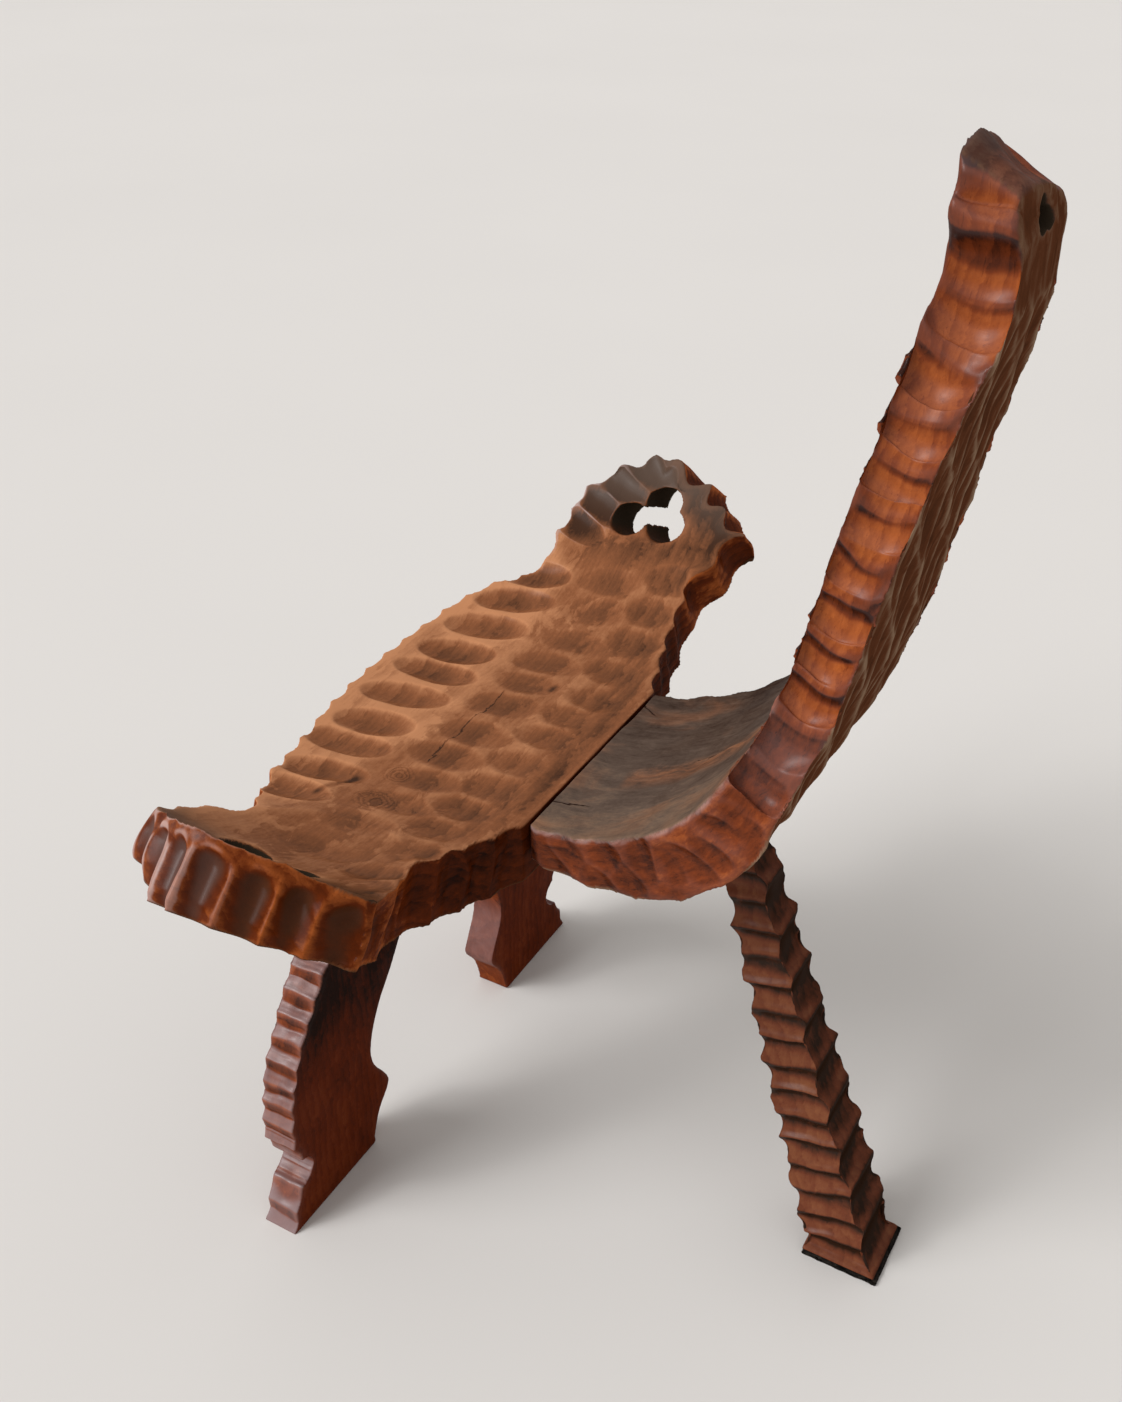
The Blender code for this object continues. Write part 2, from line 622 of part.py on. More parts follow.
def build_rear_leg(underside, parts):
    """The leaning post with hollows down its sides, its top fitted to the back plank."""
    sole = PAD_THICKNESS + CLEARANCE
    top = SEAT_HEIGHT
    rings = round((top - sole) / REAR_SIDE_PITCH * SCALLOP_STEPS)
    work = bmesh.new()
    bmesh.ops.create_cube(work, size=1.0)
    for index in range(1, rings):
        whole = work.verts[:] + work.edges[:] + work.faces[:]
        level = Vector((0.0, 0.0, index / rings - 0.5))
        bmesh.ops.bisect_plane(work, geom=whole, dist=WELD, plane_co=level, plane_no=(0.0, 0.0, 1.0))
    for vert in work.verts:
        share = vert.co.z + 0.5
        z = sole + (top - sole) * share
        half = 0.5 * (REAR_FOOT_WIDTH + (REAR_TOP_WIDTH - REAR_FOOT_WIDTH) * share)
        x = half - hollow(z - sole, REAR_SIDE_PITCH, REAR_SIDE_DEPTH)
        y = half - hollow(z - sole, REAR_FACE_PITCH, REAR_FACE_DEPTH)
        corner = Vector((math.copysign(x, vert.co.x), math.copysign(y, vert.co.y), 0.0))
        vert.co = rear_leg_middle(z) + corner
    bmesh.ops.triangulate(work, faces=work.faces)
    leg = add_object("rear_leg", work, bpy.data.meshes.new("rear_leg"), parts)
    leg.data.materials.append(finish("rear_leg", WALNUT_EDGE, 0.4))
    cut(leg, underside)
    return leg


def build_pad(parts):
    """The thin pad glued under the rear leg."""
    width = REAR_FOOT_WIDTH + 2.0 * PAD_MARGIN
    work = bmesh.new()
    bmesh.ops.create_cube(work, size=1.0)
    bmesh.ops.scale(work, vec=(width, width, PAD_THICKNESS), verts=work.verts)
    pad = add_object("rear_foot_pad", work, bpy.data.meshes.new("rear_foot_pad"), parts)
    pad.data.materials.append(finish("rear_foot_pad", PAD_BLACK, 0.95))
    pad.location = rear_leg_middle(0.0) + Vector((0.0, 0.0, 0.5 * PAD_THICKNESS))
    return pad


def build_dowels(seat, back, left_leg, right_leg, rear_leg, parts, cutters):
    """The hidden dowels and their holes."""
    backward = Vector((0.0, 1.0, 0.0))
    upward = Vector((0.0, 0.0, 1.0))
    joint_z = SEAT_HEIGHT - 0.5 * JOINT_THICKNESS
    for name, x in (("left", JOINT_DOWEL_SPACING), ("middle", 0.0), ("right", -JOINT_DOWEL_SPACING)):
        dowel("seat_back_dowel_" + name, Vector((x, 0.0, joint_z)), backward, JOINT_DOWEL_DIAMETER,
              JOINT_DOWEL_LENGTH, parts, cutters, (seat, back))
    board_middle = -LEG_SETBACK - 0.5 * LEG_THICKNESS
    for side, side_name, leg in ((1.0, "left", left_leg), (-1.0, "right", right_leg)):
        for reach, place_name in ((LEG_DOWEL_INNER, "inner"), (LEG_DOWEL_OUTER, "outer")):
            middle = seat_point(side * reach, board_middle, -SEAT_THICKNESS)
            dowel(f"front_leg_{side_name}_dowel_{place_name}", middle, upward, LEG_DOWEL_DIAMETER,
                  LEG_DOWEL_LENGTH, parts, cutters, (seat, leg))
    for index, name in enumerate(("lower", "upper")):
        seam_z = ARCH_HEIGHT + SEAM_DOWEL_ABOVE_ARCH + index * SEAM_DOWEL_SPACING
        dowel("front_leg_seam_dowel_" + name, Vector((0.0, board_middle, seam_z)), Vector((1.0, 0.0, 0.0)),
              SEAM_DOWEL_DIAMETER, SEAM_DOWEL_LENGTH, parts, cutters, (left_leg, right_leg))
    lean = Vector((0.0, -REAR_LEG_SHEAR, 1.0))
    for side, name in ((1.0, "left"), (-1.0, "right")):
        middle = rear_leg_middle(rear_joint_height()) + Vector((0.5 * side * REAR_DOWEL_SPACING, 0.0, 0.0))
        dowel("rear_leg_dowel_" + name, middle, lean, REAR_DOWEL_DIAMETER, REAR_DOWEL_LENGTH,
              parts, cutters, (back, rear_leg))


def rear_joint_height():
    """Height at which the rear leg's centre line meets the underside of the back plank."""
    low, high = 0.0, WAIST_AT
    for _ in range(40):
        s = 0.5 * (low + high)
        under = back_point(0.0, s, -back_thickness(s))
        if under.y < rear_leg_middle(under.z).y:
            low = s
        else:
            high = s
    return under.z


def centre_on_floor(parts, root):
    """Move the chair so that the bottom centre of its box is the origin."""
    depsgraph = bpy.context.evaluated_depsgraph_get()
    corners = []
    for piece in parts.objects:
        if piece.type != "MESH":
            continue
        now = piece.evaluated_get(depsgraph)
        corners += [now.matrix_world @ vert.co for vert in now.data.vertices]
    cloud = np.array(corners)
    middle = 0.5 * (cloud.min(axis=0) + cloud.max(axis=0))
    root.location = (-middle[0], -middle[1], -cloud[:, 2].min())


def main():
    """Build every piece and set the chair on its origin."""
    clear_scene()
    parts = new_collection(CHAIR)
    cutters = new_collection("cutters")
    seat = build_seat(parts, cutters)
    back = build_back(parts, cutters)
    underside = seat_underside_cutter(cutters)
    left_leg = build_front_leg("front_leg_left", 1.0, underside, parts)
    right_leg = build_front_leg("front_leg_right", -1.0, underside, parts)
    rear_leg = build_rear_leg(back_underside_cutter(cutters), parts)
    build_pad(parts)
    build_dowels(seat, back, left_leg, right_leg, rear_leg, parts, cutters)
    root = bpy.data.objects.new(CHAIR + "_root", None)
    bpy.context.scene.collection.objects.link(root)
    for thing in list(parts.objects) + list(cutters.objects):
        thing.parent = root
    bpy.context.view_layer.update()
    centre_on_floor(parts, root)
    bpy.context.view_layer.update()


main()
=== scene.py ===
"""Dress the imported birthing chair: hand-carved walnut, worn wax, a felt pad and a plain studio.

Metres, +Z up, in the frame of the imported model: the sitter faces -Y and the sitter's left is +X.
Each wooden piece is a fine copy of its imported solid. Its gouges are cut into that copy, and what
the carving measures (grain direction, hollows, ridges, faces) is kept on it for its finish.
"""
import math

import bmesh
import bpy
import numpy as np
from mathutils import Matrix, Vector


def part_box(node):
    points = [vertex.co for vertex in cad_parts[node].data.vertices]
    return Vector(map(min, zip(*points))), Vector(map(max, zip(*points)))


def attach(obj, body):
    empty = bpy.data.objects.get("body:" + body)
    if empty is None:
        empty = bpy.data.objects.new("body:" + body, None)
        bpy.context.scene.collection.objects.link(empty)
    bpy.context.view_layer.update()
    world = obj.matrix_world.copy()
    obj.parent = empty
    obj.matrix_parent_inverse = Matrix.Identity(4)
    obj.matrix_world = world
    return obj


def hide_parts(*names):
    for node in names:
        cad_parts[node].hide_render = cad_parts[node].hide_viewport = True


bl_info = {
    "name": "Carved birthing chair",
    "version": (1, 0, 0),
    "blender": (4, 5, 0),
    "location": "3D View > Sidebar > Chair",
    "description": "Carves, finishes and lights the packed birthing chair",
    "category": "Object",
}

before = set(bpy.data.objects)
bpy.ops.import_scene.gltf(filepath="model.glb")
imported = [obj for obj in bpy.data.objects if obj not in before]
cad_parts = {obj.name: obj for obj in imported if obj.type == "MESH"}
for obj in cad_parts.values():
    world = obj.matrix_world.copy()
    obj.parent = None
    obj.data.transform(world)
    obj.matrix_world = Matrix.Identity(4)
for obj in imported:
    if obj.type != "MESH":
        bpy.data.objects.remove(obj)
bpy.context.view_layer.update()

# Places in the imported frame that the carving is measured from
JOINT_GAP = 0.0003
JOINT_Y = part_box("back_plank")[0].y - JOINT_GAP
CENTRE_X = 0.5 * (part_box("rear_leg")[0].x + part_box("rear_leg")[1].x)

# Seat plank: its top is level in the middle and curls up to both heads
SEAT_HEIGHT = 0.320
SEAT_LEVEL_HALF = 0.060
SEAT_CURL_RADIUS = 0.252

# Ends of the seat's heads, unrolled: front corner, shoulder, tip, shoulder and rear corner
HEAD_END = ((0.236, -0.132), (0.257, -0.1055), (0.271, -0.076), (0.257, -0.0365), (0.226, 0.003))
HEAD_FLANK = ((0.226, 0.003), (0.193, -0.00825), (0.163, -0.0195))
HEAD_HOLLOWS = 7
FLANK_HOLLOWS = 3
SEAT_HOLLOW_DEPTH = 0.0032
HEAD_THICKNESS = {1.0: 0.042, -1.0: 0.030}
TREFOIL_REACH = 0.2186
TREFOIL_DEPTH = -0.0695
TREFOIL_RADIUS = 0.036

# Rows of gouges on the seat, unrolled: first and last reach, pitch, depth, half sizes and turn
FRONT_ROW = (-0.157, 0.128, 0.0315, -0.134, 0.0138, 0.029, 0.18)
MIDDLE_ROW = (-0.165, 0.165, 0.029, -0.075, 0.0140, 0.026, 0.16)
REAR_ROW = (-0.175, 0.175, 0.030, -0.037, 0.0140, 0.021, 0.10)
FRONT_SOFTNESS = 0.85
ROW_SOFTNESS = 1.3
GOUGE_FADE = (0.002, 0.020)
SEAT_CAVITY_REACH = 0.007
HEAD_FROM = (0.200, 0.230)

# Gouges on the front of the far head, the dish of the near head and the shape of its corners
FAR_HEAD_GOUGES = ((-0.2040, -0.1240), (-0.2220, -0.1120), (-0.2377, -0.0995), (-0.2545, -0.0840))
FAR_GOUGE_SIZE = (0.0122, 0.030)
FAR_GOUGE_TURN = -0.42
FAR_GOUGE_SHARE = 0.62
NEAR_HEAD_DISH = ((0.202, -0.068, 0.071, 0.062, 0.0, 1.0),)
NEAR_DISH_DEPTH = 0.0105
CORNER_SLOPE = 0.007
CORNER_SLOPE_REACH = 0.045
CORNER_SWELL = 0.0060
FAR_HEAD_HOLLOWS = 6
FAR_HEAD_BEVEL = 0.010

# Finger hole of the far head: holes drilled aslant, each with its start and radius, and their lean
FAR_DRILLS = (
    (0.2145, -0.0875, 0.0135),
    (0.2315, -0.0670, 0.0135),
    (0.2155, -0.0595, 0.0135),
    (0.2206, -0.0756, 0.0068),
)
FAR_DRILL_LEAN = (0.0137, 0.0055, -0.030)
FAR_PLUG_REACH = (0.178, 0.258)
FAR_PLUG_DEPTH = (-0.112, -0.036)
FAR_PLUG_HEIGHT = (-0.0290, -0.0003)
FAR_PLUG_RINGS = 17
FAR_DRILL_SIDES = 40
FAR_DRILL_TRAVEL = (-0.5, 2.0)

# Corners of the heads that are rounded off: reach and depth, direction out of the corner, size
FRONT_CORNER = ((0.236, -0.132), (0.79, -0.61), 0.004)
REAR_CORNER = ((0.226, 0.003), (0.29, 0.96), 0.005)
CORNER_BLUNTING = 0.75
CORNER_FADE = (0.030, 0.050)
CORNER_SOFT = (0.010, 0.026)
CORNER_SWELL_FADE = (0.012, 0.050)

# How far from the heads' edges points are looked for, and how the near finger hole narrows downward
EDGE_REACH = 0.030
EDGE_FADE = (0.006, 0.022)
EDGE_TAPER = 0.12
EDGE_STEPS = 240
NEAR_HEEL = 0.0045
HOLE_TAPER = 0.0035
HOLE_TAPER_DEPTH = 0.03

# Back plank: its front face from the joint up, as the radii of its bends and the slopes between them
LOW_BEND_RADIUS = 0.143
HIGH_BEND_RADIUS = 0.212
CROWN_BEND_RADIUS = 0.160
CROWN_BEND_AT = 0.385
BACK_LENGTH = 0.453
JOINT_SLOPE = math.radians(4.0)
BEND_SLOPE = math.radians(58.0)
BACK_SLOPE = math.radians(78.2)
CROWN_SLOPE = math.radians(91.0)

# Spans of the back's edges that hold rows of hollows, and how far the hollows sag in their middle
BEND_EDGE = (-0.015, 0.155)
SIDE_EDGE = (0.155, 0.405)
CROWN_EDGE = (0.405, 0.449)
EDGE_SAG = 0.0065
BACK_THICKNESS_AT = (0.0, 0.080, 0.110, 0.175, 0.385, 0.453)
BACK_THICKNESS = (0.026, 0.043, 0.043, 0.032, 0.032, 0.025)
BOWL_GAIN = 2.2
OVAL_GAIN = 2.0
FRONT_STROKES_FROM = (0.140, 0.190)
SLATE_SPAN = (-0.190, -0.120)

# Counts and depths of the back's hollows, and the form of its crown
BACK_HOLLOW_DEPTH = 0.0028
BEND_HOLLOWS = 7
SIDE_HOLLOWS = 11
CROWN_HOLLOWS = 2
CROWN_HOLE_AT = 0.420
CROWN_HOLE_RADIUS = 0.016
CROWN_HOLE_SHORTER = 0.36
BEND_OVAL_SHIFT = 0.0045
CROWN_BULGE = 0.0062
CROWN_SWELL = 0.0030
FAR_EASE = 0.0030

# Top end of the crown across the plank: a convex curve that leans back through the thickness
CROWN_TOP = (0.4545, 0.2031, -10.25)
CROWN_TOP_LEAN = 0.64

# Legs: how much the front legs' hollows are deepened, and the rows down the post and how they rise behind
LEG_HOLLOW_GAIN = 2.2
POST_SIDE_PITCH = 0.0187
POST_FACE_PITCH = 0.0300
POST_DEEPER = 0.0030
POST_RISE = 0.26

# Camera, read from the photograph's perspective
PHOTO_WIDTH = 1122
PHOTO_HEIGHT = 1402
CAMERA_FOCUS_PX = 1500.0
CAMERA_AZIMUTH = math.radians(119.715)
CAMERA_ELEVATION = math.radians(32.864)
CAMERA_ROLL = math.radians(0.122)
CAMERA_PLACE = Vector((0.6405, 0.3228, 0.830))
SENSOR_WIDTH = 36.0

FAR = 10.0
UP = np.array([0.0, 0.0, 1.0])
SIDE = np.array([1.0, 0.0, 0.0])

# How far a point has to turn to belong to a face or to an edge
FACE_TURN = (0.35, 0.75)
EDGE_TURN = (0.3, 0.7)

# How hand-cut rows waver: amount, scale and seed of the draw
SEAT_WAVER = (0.0035, 0.045, 19)
BACK_WAVER = (0.0022, 0.045, 27)
FRONT_LEG_WAVER = (0.0014, 0.030)
POST_WAVER = (0.0014, 0.035, 14)
PLANE_SCALE = 0.05
LEG_PLANE_SCALE = 0.07

# Seeds of the draws
SEAT_SEED = 11
BACK_SEED = 23
FRONT_LEG_SEEDS = {"left": 31, "right": 37}
FELT_SEED = 41

# Marks on the planks: middle and size, or start, end, width and wobble
SEAT_KNOTS = (((0.106, -0.083), 0.016), ((0.075, -0.089), 0.013))
SEAT_CRACK = ((0.055, -0.084), (-0.034, -0.084), 0.0008, 0.012)
SEAT_GASH = ((0.119, -0.117), (0.087, -0.108), 0.0045, 0.006)
SEAT_STAIN = ((-0.052, -0.059), (0.007, 0.005))
SEAT_RUBBED = ((0.040, -0.103), (-0.096, -0.103), 0.012, 0.020)
BACK_STREAK = ((0.030, 0.020), (0.125, 0.008), 0.016, 0.020)
BACK_PALE = ((0.082, 0.006), (0.014, 0.007))
BACK_CRACKS = (
    ((-0.002, 0.052), (0.025, 0.0505), 0.0010, 0.008),
    ((-0.002, -0.064), (0.014, -0.054), 0.0010, 0.006),
    ((0.070, 0.006), (0.094, 0.005), 0.0010, 0.020),
)

# Direction towards the soft light
WINDOW_SIDE = Vector((0.62, -0.54, 0.58))

# Colours of the window light and the fill light
WINDOW_COLOUR = (0.97, 0.985, 1.0)
FILL_COLOUR = (1.0, 0.985, 0.97)

# Wax over the wood, the felt's nap and form, and the dark fibres of the dowels
WAX_ROUGHNESS = 0.26
WAX_INDEX = 1.48
FELT_NAP = (0.045, 0.036, 0.028)
FELT_CUTS = 17
FELT_FRAY = 0.045
FELT_SINK = 0.35
DOWEL_FIBRES = (0.30, 0.18, 0.085)

# Points nearer than this are joined before a solid is refined
WELD_DISTANCE = 0.00001

# Spacing of the log's growth rings
RING_PITCH = 0.0065

# Reaches over which hollows and crisp arrises are told from the general form
HOLLOW_REACH = 0.0065
HOLLOW_DEPTH = 0.0013
ARRIS_REACH = 0.0024
ARRIS_HEIGHT = 0.0005


def length(name, description, default):
    """A setting in metres."""
    return bpy.props.FloatProperty(name=name, description=description, default=default, unit="LENGTH")


def tint(name, description, default):
    """A setting that is a colour."""
    return bpy.props.FloatVectorProperty(
        name=name, description=description, default=default, subtype="COLOR")


def amount(name, description, default, subtype="NONE"):
    """A setting that is a plain number or an angle."""
    return bpy.props.FloatProperty(name=name, description=description, default=default, subtype=subtype)


class CarvingSizes(bpy.types.PropertyGroup):
    """How fine and how deep the carving is."""

    grid: length(
        "Grid", "Spacing of the points of the carved skins", 0.0013)
    front_gouge: length(
        "Front gouges", "Depth of the row of oval gouges along the seat's front", 0.0054)
    middle_gouge: length(
        "Middle gouges", "Depth of the row of gouges along the seat's middle", 0.0022)
    rear_gouge: length(
        "Rear gouges", "Depth of the row of gouges along the seat's rear", 0.0022)
    edge_gouge: length(
        "Edge gouges", "How much deeper the hollows of the edges are in their middle", 0.0024)
    head_flute: length(
        "Head flutes", "Depth of the flutes on the ends of the seat", 0.0042)
    lattice_gouge: length(
        "Lattice gouges", "Depth of the crossing gouges on the faces of the back", 0.0024)
    unevenness: length(
        "Unevenness", "Wander of the hand-planed faces", 0.0006)


class WoodColours(bpy.types.PropertyGroup):
    """Colours of the waxed walnut, the pad and the dowels."""

    seat_light: tint(
        "Seat, worn", "Rubbed wood on the seat's ridges", (0.490, 0.215, 0.100))
    seat_middle: tint(
        "Seat", "Waxed wood on the seat", (0.245, 0.089, 0.037))
    seat_dark: tint(
        "Seat, dark", "Dirt and old wax in the seat's gouges", (0.050, 0.022, 0.012))
    # Light end of the edges' tone: on the back's edges the middles of the hollows also take it, as painted
    # light
    edge_light: tint(
        "Edge, worn", "Rubbed wood on the back's edges", (0.430, 0.112, 0.026))
    edge_middle: tint(
        "Edge", "Waxed wood on the back's edges", (0.180, 0.036, 0.009))
    # Dark end of the edges' tone: much of what pulls to it is painted shade on the downward faces under
    # each ridge
    edge_dark: tint(
        "Edge, dark", "Dark wax in the hollows of the edges", (0.026, 0.007, 0.004))
    rim: tint(
        "Seat rim", "Dark waxed wood round the seat", (0.105, 0.018, 0.003))
    # Painted sheen: a bluish reflection of the window light, painted into the colour of lit hollows,
    # arrises and edges
    sheen: tint(
        "Sheen", "Bluish bloom of worn wax", (0.250, 0.168, 0.166))
    slate: tint(
        "Slate", "Greyed wood where the sitter's clothes rub", (0.100, 0.067, 0.050))
    leg_middle: tint(
        "Leg", "Dark waxed wood of the legs", (0.100, 0.015, 0.003))
    # Dark end of the legs' tone: at the tops of the front legs it also holds painted shade under the seat,
    # with a dark stain
    leg_dark: tint(
        "Leg, dark", "Darkest wax on the legs", (0.014, 0.004, 0.002))
    # Painted highlight: glints of the window light on the crispest arrises, painted as colour, together
    # with some rubbed wax
    glint: tint(
        "Glint", "Pale rubbed wax on the crispest arrises", (0.50, 0.39, 0.37))
    post: tint(
        "Post", "Brown waxed wood of the rear leg", (0.135, 0.036, 0.016))
    # Dark end of the rear leg's tone: there it also holds painted shade under each ridge and on the rear
    # faces
    post_dark: tint(
        "Post, dark", "Dark wax on the rear leg and the rear of the back", (0.024, 0.011, 0.006))
    rear: tint(
        "Rear face", "Dark brown rear of the back", (0.106, 0.036, 0.016))
    tan: tint(
        "Rear ridges", "Worn ridges on the rear of the back", (0.240, 0.150, 0.095))
    under: tint(
        "Underside", "Unpolished wood underneath", (0.085, 0.036, 0.017))
    # Used on the walls of the finger holes, and as painted shade in a band behind the near head's rim
    hole: tint(
        "Holes", "Dark wax inside the finger holes", (0.040, 0.028, 0.018))
    dowel: tint(
        "Dowel", "Raw wood of the hidden dowels", (0.450, 0.300, 0.160))
    felt: tint(
        "Felt", "Black felt of the foot pad", (0.012, 0.011, 0.010))


class StudioLight(bpy.types.PropertyGroup):
    """Floor, backdrop and lamps."""

    floor: tint(
        "Floor", "Colour of the plain floor", (0.74, 0.71, 0.68))
    fill: amount(
        "Fill", "Strength of the even light from all round", 0.56)
    key: amount(
        "Key", "Strength of the soft light from the window side", 2.3)
    glint: amount(
        "Glint", "Strength of the narrow light that the wax glints in", 0.40)
    glint_spread: amount(
        "Glint spread", "Angle over which the narrow light spreads", math.radians(9.0), "ANGLE")
    key_spread: amount(
        "Key spread", "Angle over which the window light spreads", math.radians(38.0), "ANGLE")


class Field:
    """A number that changes over a surface. Sums with it add Math nodes."""

    def __init__(self, finish, socket):
        self.finish = finish
        self.socket = socket

    def math(self, operation, first, second=None):
        values = {0: first} if second is None else {0: first, 1: second}
        node = self.finish.node("ShaderNodeMath", {"operation": operation}, values)
        return Field(self.finish, node.outputs[0])

    def __add__(self, other):
        return self.math("ADD", self, other)

    def __radd__(self, other):
        return self.math("ADD", other, self)

    def __sub__(self, other):
        return self.math("SUBTRACT", self, other)

    def __rsub__(self, other):
        return self.math("SUBTRACT", other, self)

    def __mul__(self, other):
        return self.math("MULTIPLY", self, other)

    def __truediv__(self, other):
        return self.math("DIVIDE", self, other)

    def __pow__(self, other):
        return self.math("POWER", self, other)

    def __abs__(self):
        return self.math("ABSOLUTE", self)

    def between(self, low, high):
        """Nought below low, one above high, with a soft start and end."""
        settings = {"interpolation_type": "SMOOTHSTEP"}
        node = self.finish.node("ShaderNodeMapRange", settings,
                                {"Value": self, "From Min": low, "From Max": high})
        return Field(self.finish, node.outputs[0])


class NodeTree:
    """A tree of shader nodes under construction."""

    def __init__(self, owner):
        owner.use_nodes = True
        self.tree = owner.node_tree
        self.tree.nodes.clear()

    def node(self, kind, settings=None, values=None):
        """A node with its settings, then the values or links of its sockets."""
        made = self.tree.nodes.new(kind)
        for name, value in (settings or {}).items():
            setattr(made, name, value)
        for name, value in (values or {}).items():
            socket = made.inputs[name]
            if isinstance(value, Field):
                self.tree.links.new(value.socket, socket)
            elif isinstance(value, bpy.types.NodeSocket):
                self.tree.links.new(value, socket)
            elif hasattr(value, "__len__") and len(value) == 3 and socket.type == "RGBA":
                socket.default_value = (*value, 1.0)
            else:
                socket.default_value = value
        return made


class Finish(NodeTree):
    """A material under construction."""

    def __init__(self, name):
        self.material = bpy.data.materials.new(name)
        super().__init__(self.material)

    def measure(self, name):
        """A number that the carving left on the skin."""
        made = self.node("ShaderNodeAttribute", {"attribute_name": name})
        return Field(self, made.outputs["Fac"])

    def grain_place(self):
        """Place in the plank: along the grain, across it, and below the face."""
        return self.node("ShaderNodeAttribute", {"attribute_name": "grain"}).outputs["Vector"]

    def object_place(self):
        """Place in the object."""
        return self.node("ShaderNodeTexCoord").outputs["Object"]

    def split(self, vector):
        """The three numbers of a vector."""
        made = self.node("ShaderNodeSeparateXYZ", None, {0: vector})
        return [Field(self, made.outputs[index]) for index in range(3)]

    def joined(self, x, y, z):
        """A vector from three numbers."""
        return self.node("ShaderNodeCombineXYZ", None, {0: x, 1: y, 2: z}).outputs[0]

    def stretched(self, vector, scale):
        """A vector scaled along each axis."""
        made = self.node("ShaderNodeVectorMath", {"operation": "MULTIPLY"}, {0: vector, 1: scale})
        return made.outputs[0]

    def noise(self, vector, scale, detail=3.0, roughness=0.55, distortion=0.0):
        """Soft noise between nought and one."""
        made = self.node("ShaderNodeTexNoise", None, {
            "Vector": vector, "Scale": scale, "Detail": detail,
            "Roughness": roughness, "Distortion": distortion})
        return Field(self, made.outputs[0])

    def mix(self, first, second, share):
        """A colour between two colours."""
        made = self.node("ShaderNodeMix", {"data_type": "RGBA"}, {0: share, 6: first, 7: second})
        return made.outputs[2]

    def bump(self, height, strength, distance):
        """A normal bent by a height."""
        made = self.node("ShaderNodeBump", None,
                         {"Height": height, "Strength": strength, "Distance": distance})
        return made.outputs[0]

    def waxed(self, colour, roughness, normal, coat):
        """Close the material with a waxed surface."""
        shader = self.node("ShaderNodeBsdfPrincipled", None, {
            "Base Color": colour, "Roughness": roughness, "Normal": normal, "Coat Weight": coat,
            "Coat Roughness": WAX_ROUGHNESS, "IOR": WAX_INDEX, "Specular IOR Level": 0.0})
        self.node("ShaderNodeOutputMaterial", None, {"Surface": shader.outputs[0]})
        return self.material


class Skin:
    """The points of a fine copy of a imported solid, while it is carved."""

    def __init__(self, piece):
        self.piece = piece
        self.mesh = piece.data
        count = len(self.mesh.vertices)
        flat = np.empty(count * 3)
        self.mesh.vertices.foreach_get("co", flat)
        self.points = flat.reshape(-1, 3)
        ends = np.empty(len(self.mesh.edges) * 2, dtype=np.int64)
        self.mesh.edges.foreach_get("vertices", ends)
        self.first, self.second = ends.reshape(-1, 2).T
        near = np.bincount(self.first, minlength=count) + np.bincount(self.second, minlength=count)
        self.near = np.maximum(near, 1)

    def average(self, values):
        """The mean of each point's neighbours."""
        if values.ndim == 2:
            return np.column_stack([self.average(column) for column in values.T])
        count = len(self.near)
        total = np.bincount(self.first, values[self.second], count)
        total += np.bincount(self.second, values[self.first], count)
        return total / self.near

    def blurred(self, values, rounds):
        """Values spread over the skin."""
        for _ in range(rounds):
            values = 0.5 * (values + self.average(values))
        return values

    def normals(self):
        """Outward directions of the points as they are now."""
        self.write()
        flat = np.empty(len(self.points) * 3)
        self.mesh.vertex_normals.foreach_get("vector", flat)
        return flat.reshape(-1, 3)

    def write(self):
        """Put the points back into the mesh."""
        self.mesh.vertices.foreach_set("co", self.points.ravel())
        self.mesh.update()

    def cut(self, depth):
        """Move the points inward."""
        self.points = self.points - self.normals() * depth[:, None]

    def smooth(self, rounds):
        """Even out the points without shrinking the piece."""
        for _ in range(rounds):
            self.points = self.points + 0.5 * (self.average(self.points) - self.points)
            self.points = self.points - 0.52 * (self.average(self.points) - self.points)

    def soften(self, weight, rounds):
        """Round off worn arrises where the weight is."""
        for _ in range(rounds):
            self.points = self.points + (0.5 * weight)[:, None] * (self.average(self.points) - self.points)

    def waver(self, direction, amount, scale, seed):
        """Let a hand-cut row waver along a direction."""
        self.points = self.points + direction * (amount * wander(self.points, scale, seed))[:, None]

    def hold(self, node):
        """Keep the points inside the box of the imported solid."""
        low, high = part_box(node)
        self.points = np.clip(self.points, np.array(low), np.array(high))

    def cavity(self, reach):
        """Depth of each point below the skin's general form, over a reach in metres."""
        spacing = np.linalg.norm(self.points[self.first] - self.points[self.second], axis=1).mean()
        rounds = max(4, int(4.0 * (reach / spacing) ** 2))
        general = self.blurred(self.points, rounds)
        return ((general - self.points) * self.normals()).sum(axis=1)

    def keep(self, name, values):
        """Leave a number or a vector on the skin for the finish."""
        kind = "FLOAT" if values.ndim == 1 else "FLOAT_VECTOR"
        field = "value" if values.ndim == 1 else "vector"
        made = self.mesh.attributes.new(name, kind, "POINT")
        made.data.foreach_set(field, np.ascontiguousarray(values, dtype=np.float32).ravel())


def smooth_share(values, low, high):
    """Nought below low, one above high, with a soft start and end."""
    share = np.clip((values - low) / (high - low), 0.0, 1.0)
    return share * share * (3.0 - 2.0 * share)


def wander(points, scale, seed):
    """A smooth field between about minus one and one, the same each run."""
    draw = np.random.default_rng(seed)
    total = np.zeros(len(points))
    for octave in range(3):
        for _ in range(5):
            direction = draw.normal(size=3)
            direction /= np.linalg.norm(direction)
            wave = 2.0 * math.pi / (scale / (1.6 ** octave))
            total += np.sin(points @ direction * wave + draw.uniform(0.0, 2.0 * math.pi)) / (1.5 ** octave)
    return total / 4.0


